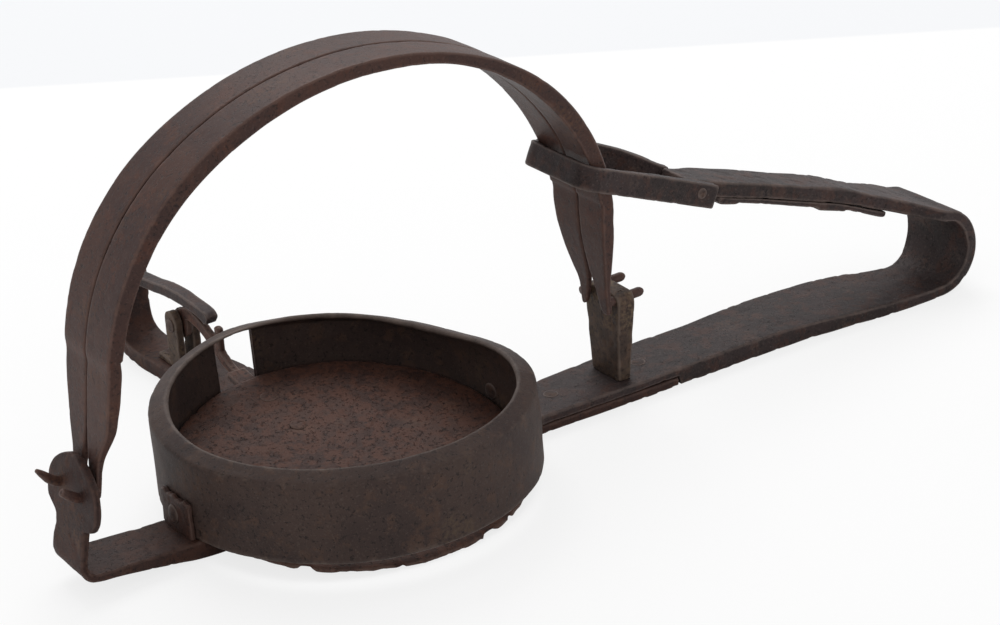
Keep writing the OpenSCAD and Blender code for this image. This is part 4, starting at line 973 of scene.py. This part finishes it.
# %% Pan arm and rivets
flat_line = np.array([(-4, y0, -2.8) for y0 in (65, 55, 40, 25, 15)], float)
path, at = walk(on_pan(flat_line), 0.9, 0.5)
strip = bar(path, at, (1, 0, 0), 3.4, 3.4, 1.3, 1.2, 0.6, wide=5, thick=1, end=0.5)
fin_y = [103.5, 101, 96, 90, 84, 78, 72, 68, 62]
fin_z = [23.6, 25.6, 28.0, 27.4, 25.7, 22.8, 19.1, 17.6, 16.4]
path, at = walk([(-3.65, py, pz) for py, pz in zip(fin_y, fin_z)], 0.6, 0.4)
fin_half = eased(path[:, 1], [62, 68, 72, 78, 84, 90, 96, 104], [1.3, 1.5, 2.1, 2.2, 2.1, 2.3, 2.3, 2.6])
fin = bar(path, at, (1, 0, 0), 1.2, 1.2, fin_half, fin_half, 0.5, wide=2, thick=2, end=0.4)
path, at = walk([(-3.65, 74.3, 30.6), (-3.65, 74.4, 27), (-3.65, 74.7, 23), (-3.65, 75.2, 19.8)], 0.5, 0.8)
finger_half = eased(path[:, 2], [19.8, 24, 28, 30.6], [2.3, 1.7, 1.6, 1.6])
finger = bar(path, at, (1, 0, 0), 1.25, 1.25, finger_half, finger_half, 0.9, wide=2, thick=2, end=0.8)
hub = turned([(0, -1.2), (4.4, -1.2), (4.9, -1.0), (5.2, -0.5), (5.2, 0.5), (4.9, 1.0), (4.4, 1.2), (0, 1.2)],
             (-3.65, PAN_Y, PAN_Z), (1, 0, 0), 36)
forged("pan_arm_forged", [strip, fin, finger, hub], "pan", "pan_iron", pan_iron, ["pan_arm"],
       wave=(0.06, 9), dent=(0.06, 4), pit=(0.1, 1.6), seed=141)
pan_heads = []
for y0 in (24.0, 43.0):
    base = on_pan(np.array([[-4.0, y0, 0.0]]))[0]
    pan_heads.append(turned(dome(2.9, 0.7, 0.6), base, (0, -math.sin(PAN_TILT), math.cos(PAN_TILT))))
forged("pan_rivet_heads", pan_heads, "pan", "rivet_iron", pan_iron, ["pan_rivets"],
       wave=(0.08, 4), dent=(0.08, 2), pit=(0.1, 1.2), seed=145)

# %% [markdown]
# ## The catch
# The catch is a small curved bar that turns in the fork and reaches over the pan's arm. To set
# the trap it lies over one open jaw with its tip under the pan's finger.

# %% Catch
CATCH_REACH = 62.6
share_top = [0, 0.1, 0.18, 0.36, 0.55, 0.7, 0.84, 0.96, 0.99, 1]
catch_top = [3.2, 2.4, 1.9, 3.2, 5.0, 5.6, 5.4, 4.9, 4.1, 2.9]
share_low = [0, 0.1, 0.18, 0.36, 0.55, 0.7, 0.84, 0.92, 0.955, 0.975, 1]
catch_low = [-3.2, -2.6, -2.0, -0.5, 1.1, 1.6, 1.5, 1.1, 0.3, -0.1, 0.2]
reach = np.linspace(0, 1, 60)
middle = 0.5 * (eased(reach, share_top, catch_top) + eased(reach, share_low, catch_low))
line = np.stack([0 * reach - 4, HINGE_Y - CATCH_REACH * reach, HINGE_Z + middle], 1)
path, at = walk(line, 0.7, 0.5)
far_along = (HINGE_Y - path[:, 1]) / CATCH_REACH
half = 0.5 * (eased(far_along, share_top, catch_top) - eased(far_along, share_low, catch_low))
catch_half = eased(far_along, [0, 0.5, 0.9, 1], [2.5, 2.45, 2.4, 2.2])
catch_shell = bar(path, at, (1, 0, 0), catch_half, catch_half, half, half, 0.6, wide=4, thick=3, end=0.5)
knuckle = turned([(0, -2.5), (2.7, -2.5), (3.1, -2.3), (3.4, -1.8), (3.4, 1.8), (3.1, 2.3), (2.7, 2.5),
                  (0, 2.5)],
                 (-4, HINGE_Y, HINGE_Z), (1, 0, 0), 36)
forged("catch_forged", [catch_shell, knuckle], "catch", "jaw_iron", spring_steel, ["catch"],
       wave=(0.1, 9), dent=(0.08, 4), pit=(0.12, 1.7), seed=151)

# %% [markdown]
# ## Rivets
# Rivets were set hot and hammered to low domes. Those that are flush in the CAD model keep
# their solids and only get the hammered finish. The others get a domed head.

# %% Rivets
def arm_head(along, below):
    """A head under the arm at `along` mm from its root, pointing away from the arm's underside."""
    base = on_arm(np.array(along), np.array(arm_rise(np.array(along)) - below))
    return turned(dome(3.0, 1.0, 0.3), base, (-math.sin(ARM_SLOPE), 0, -math.cos(ARM_SLOPE)))


forged("leaf_rivet_heads", [arm_head(79.8, 7.3), arm_head(52.0, 8.1)], "spring_arm", "rivet_iron",
       rivet_iron, ["leaf_rivets"], **HEAD_MARKS, seed=161)
eye_rivet_x = float(arm_tip[0]) + 4
eye_rivet_z = float(arm_tip[2]) - 4 * math.tan(ARM_SLOPE) - 2.8 / math.cos(ARM_SLOPE)
forged("eye_rivet_head", [turned(dome(1.9, 0.8, 0.5), (eye_rivet_x - 1.5, -12.9, eye_rivet_z), (0, -1, 0))],
       "spring_arm", "rivet_iron", rivet_iron, ["eye_rivet"], wave=(0.05, 4), dent=(0.05, 2), pit=(0.06, 1.2),
       seed=165)
lap_heads = [turned(dome(2.6, 0.45, 0.5), (x0, 0, 6.55), (0, 0, 1)) for x0 in (78.0, 114.0)]
forged("lap_rivet_heads", lap_heads, "base", "rivet_iron", rivet_iron, ["lap_rivets"],
       **HEAD_MARKS, seed=171)
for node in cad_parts.values():
    if not node.hide_render:
        node.data.materials.clear()
        node.data.materials.append(rivet_iron)
        print("kept from the CAD model:", node.name)
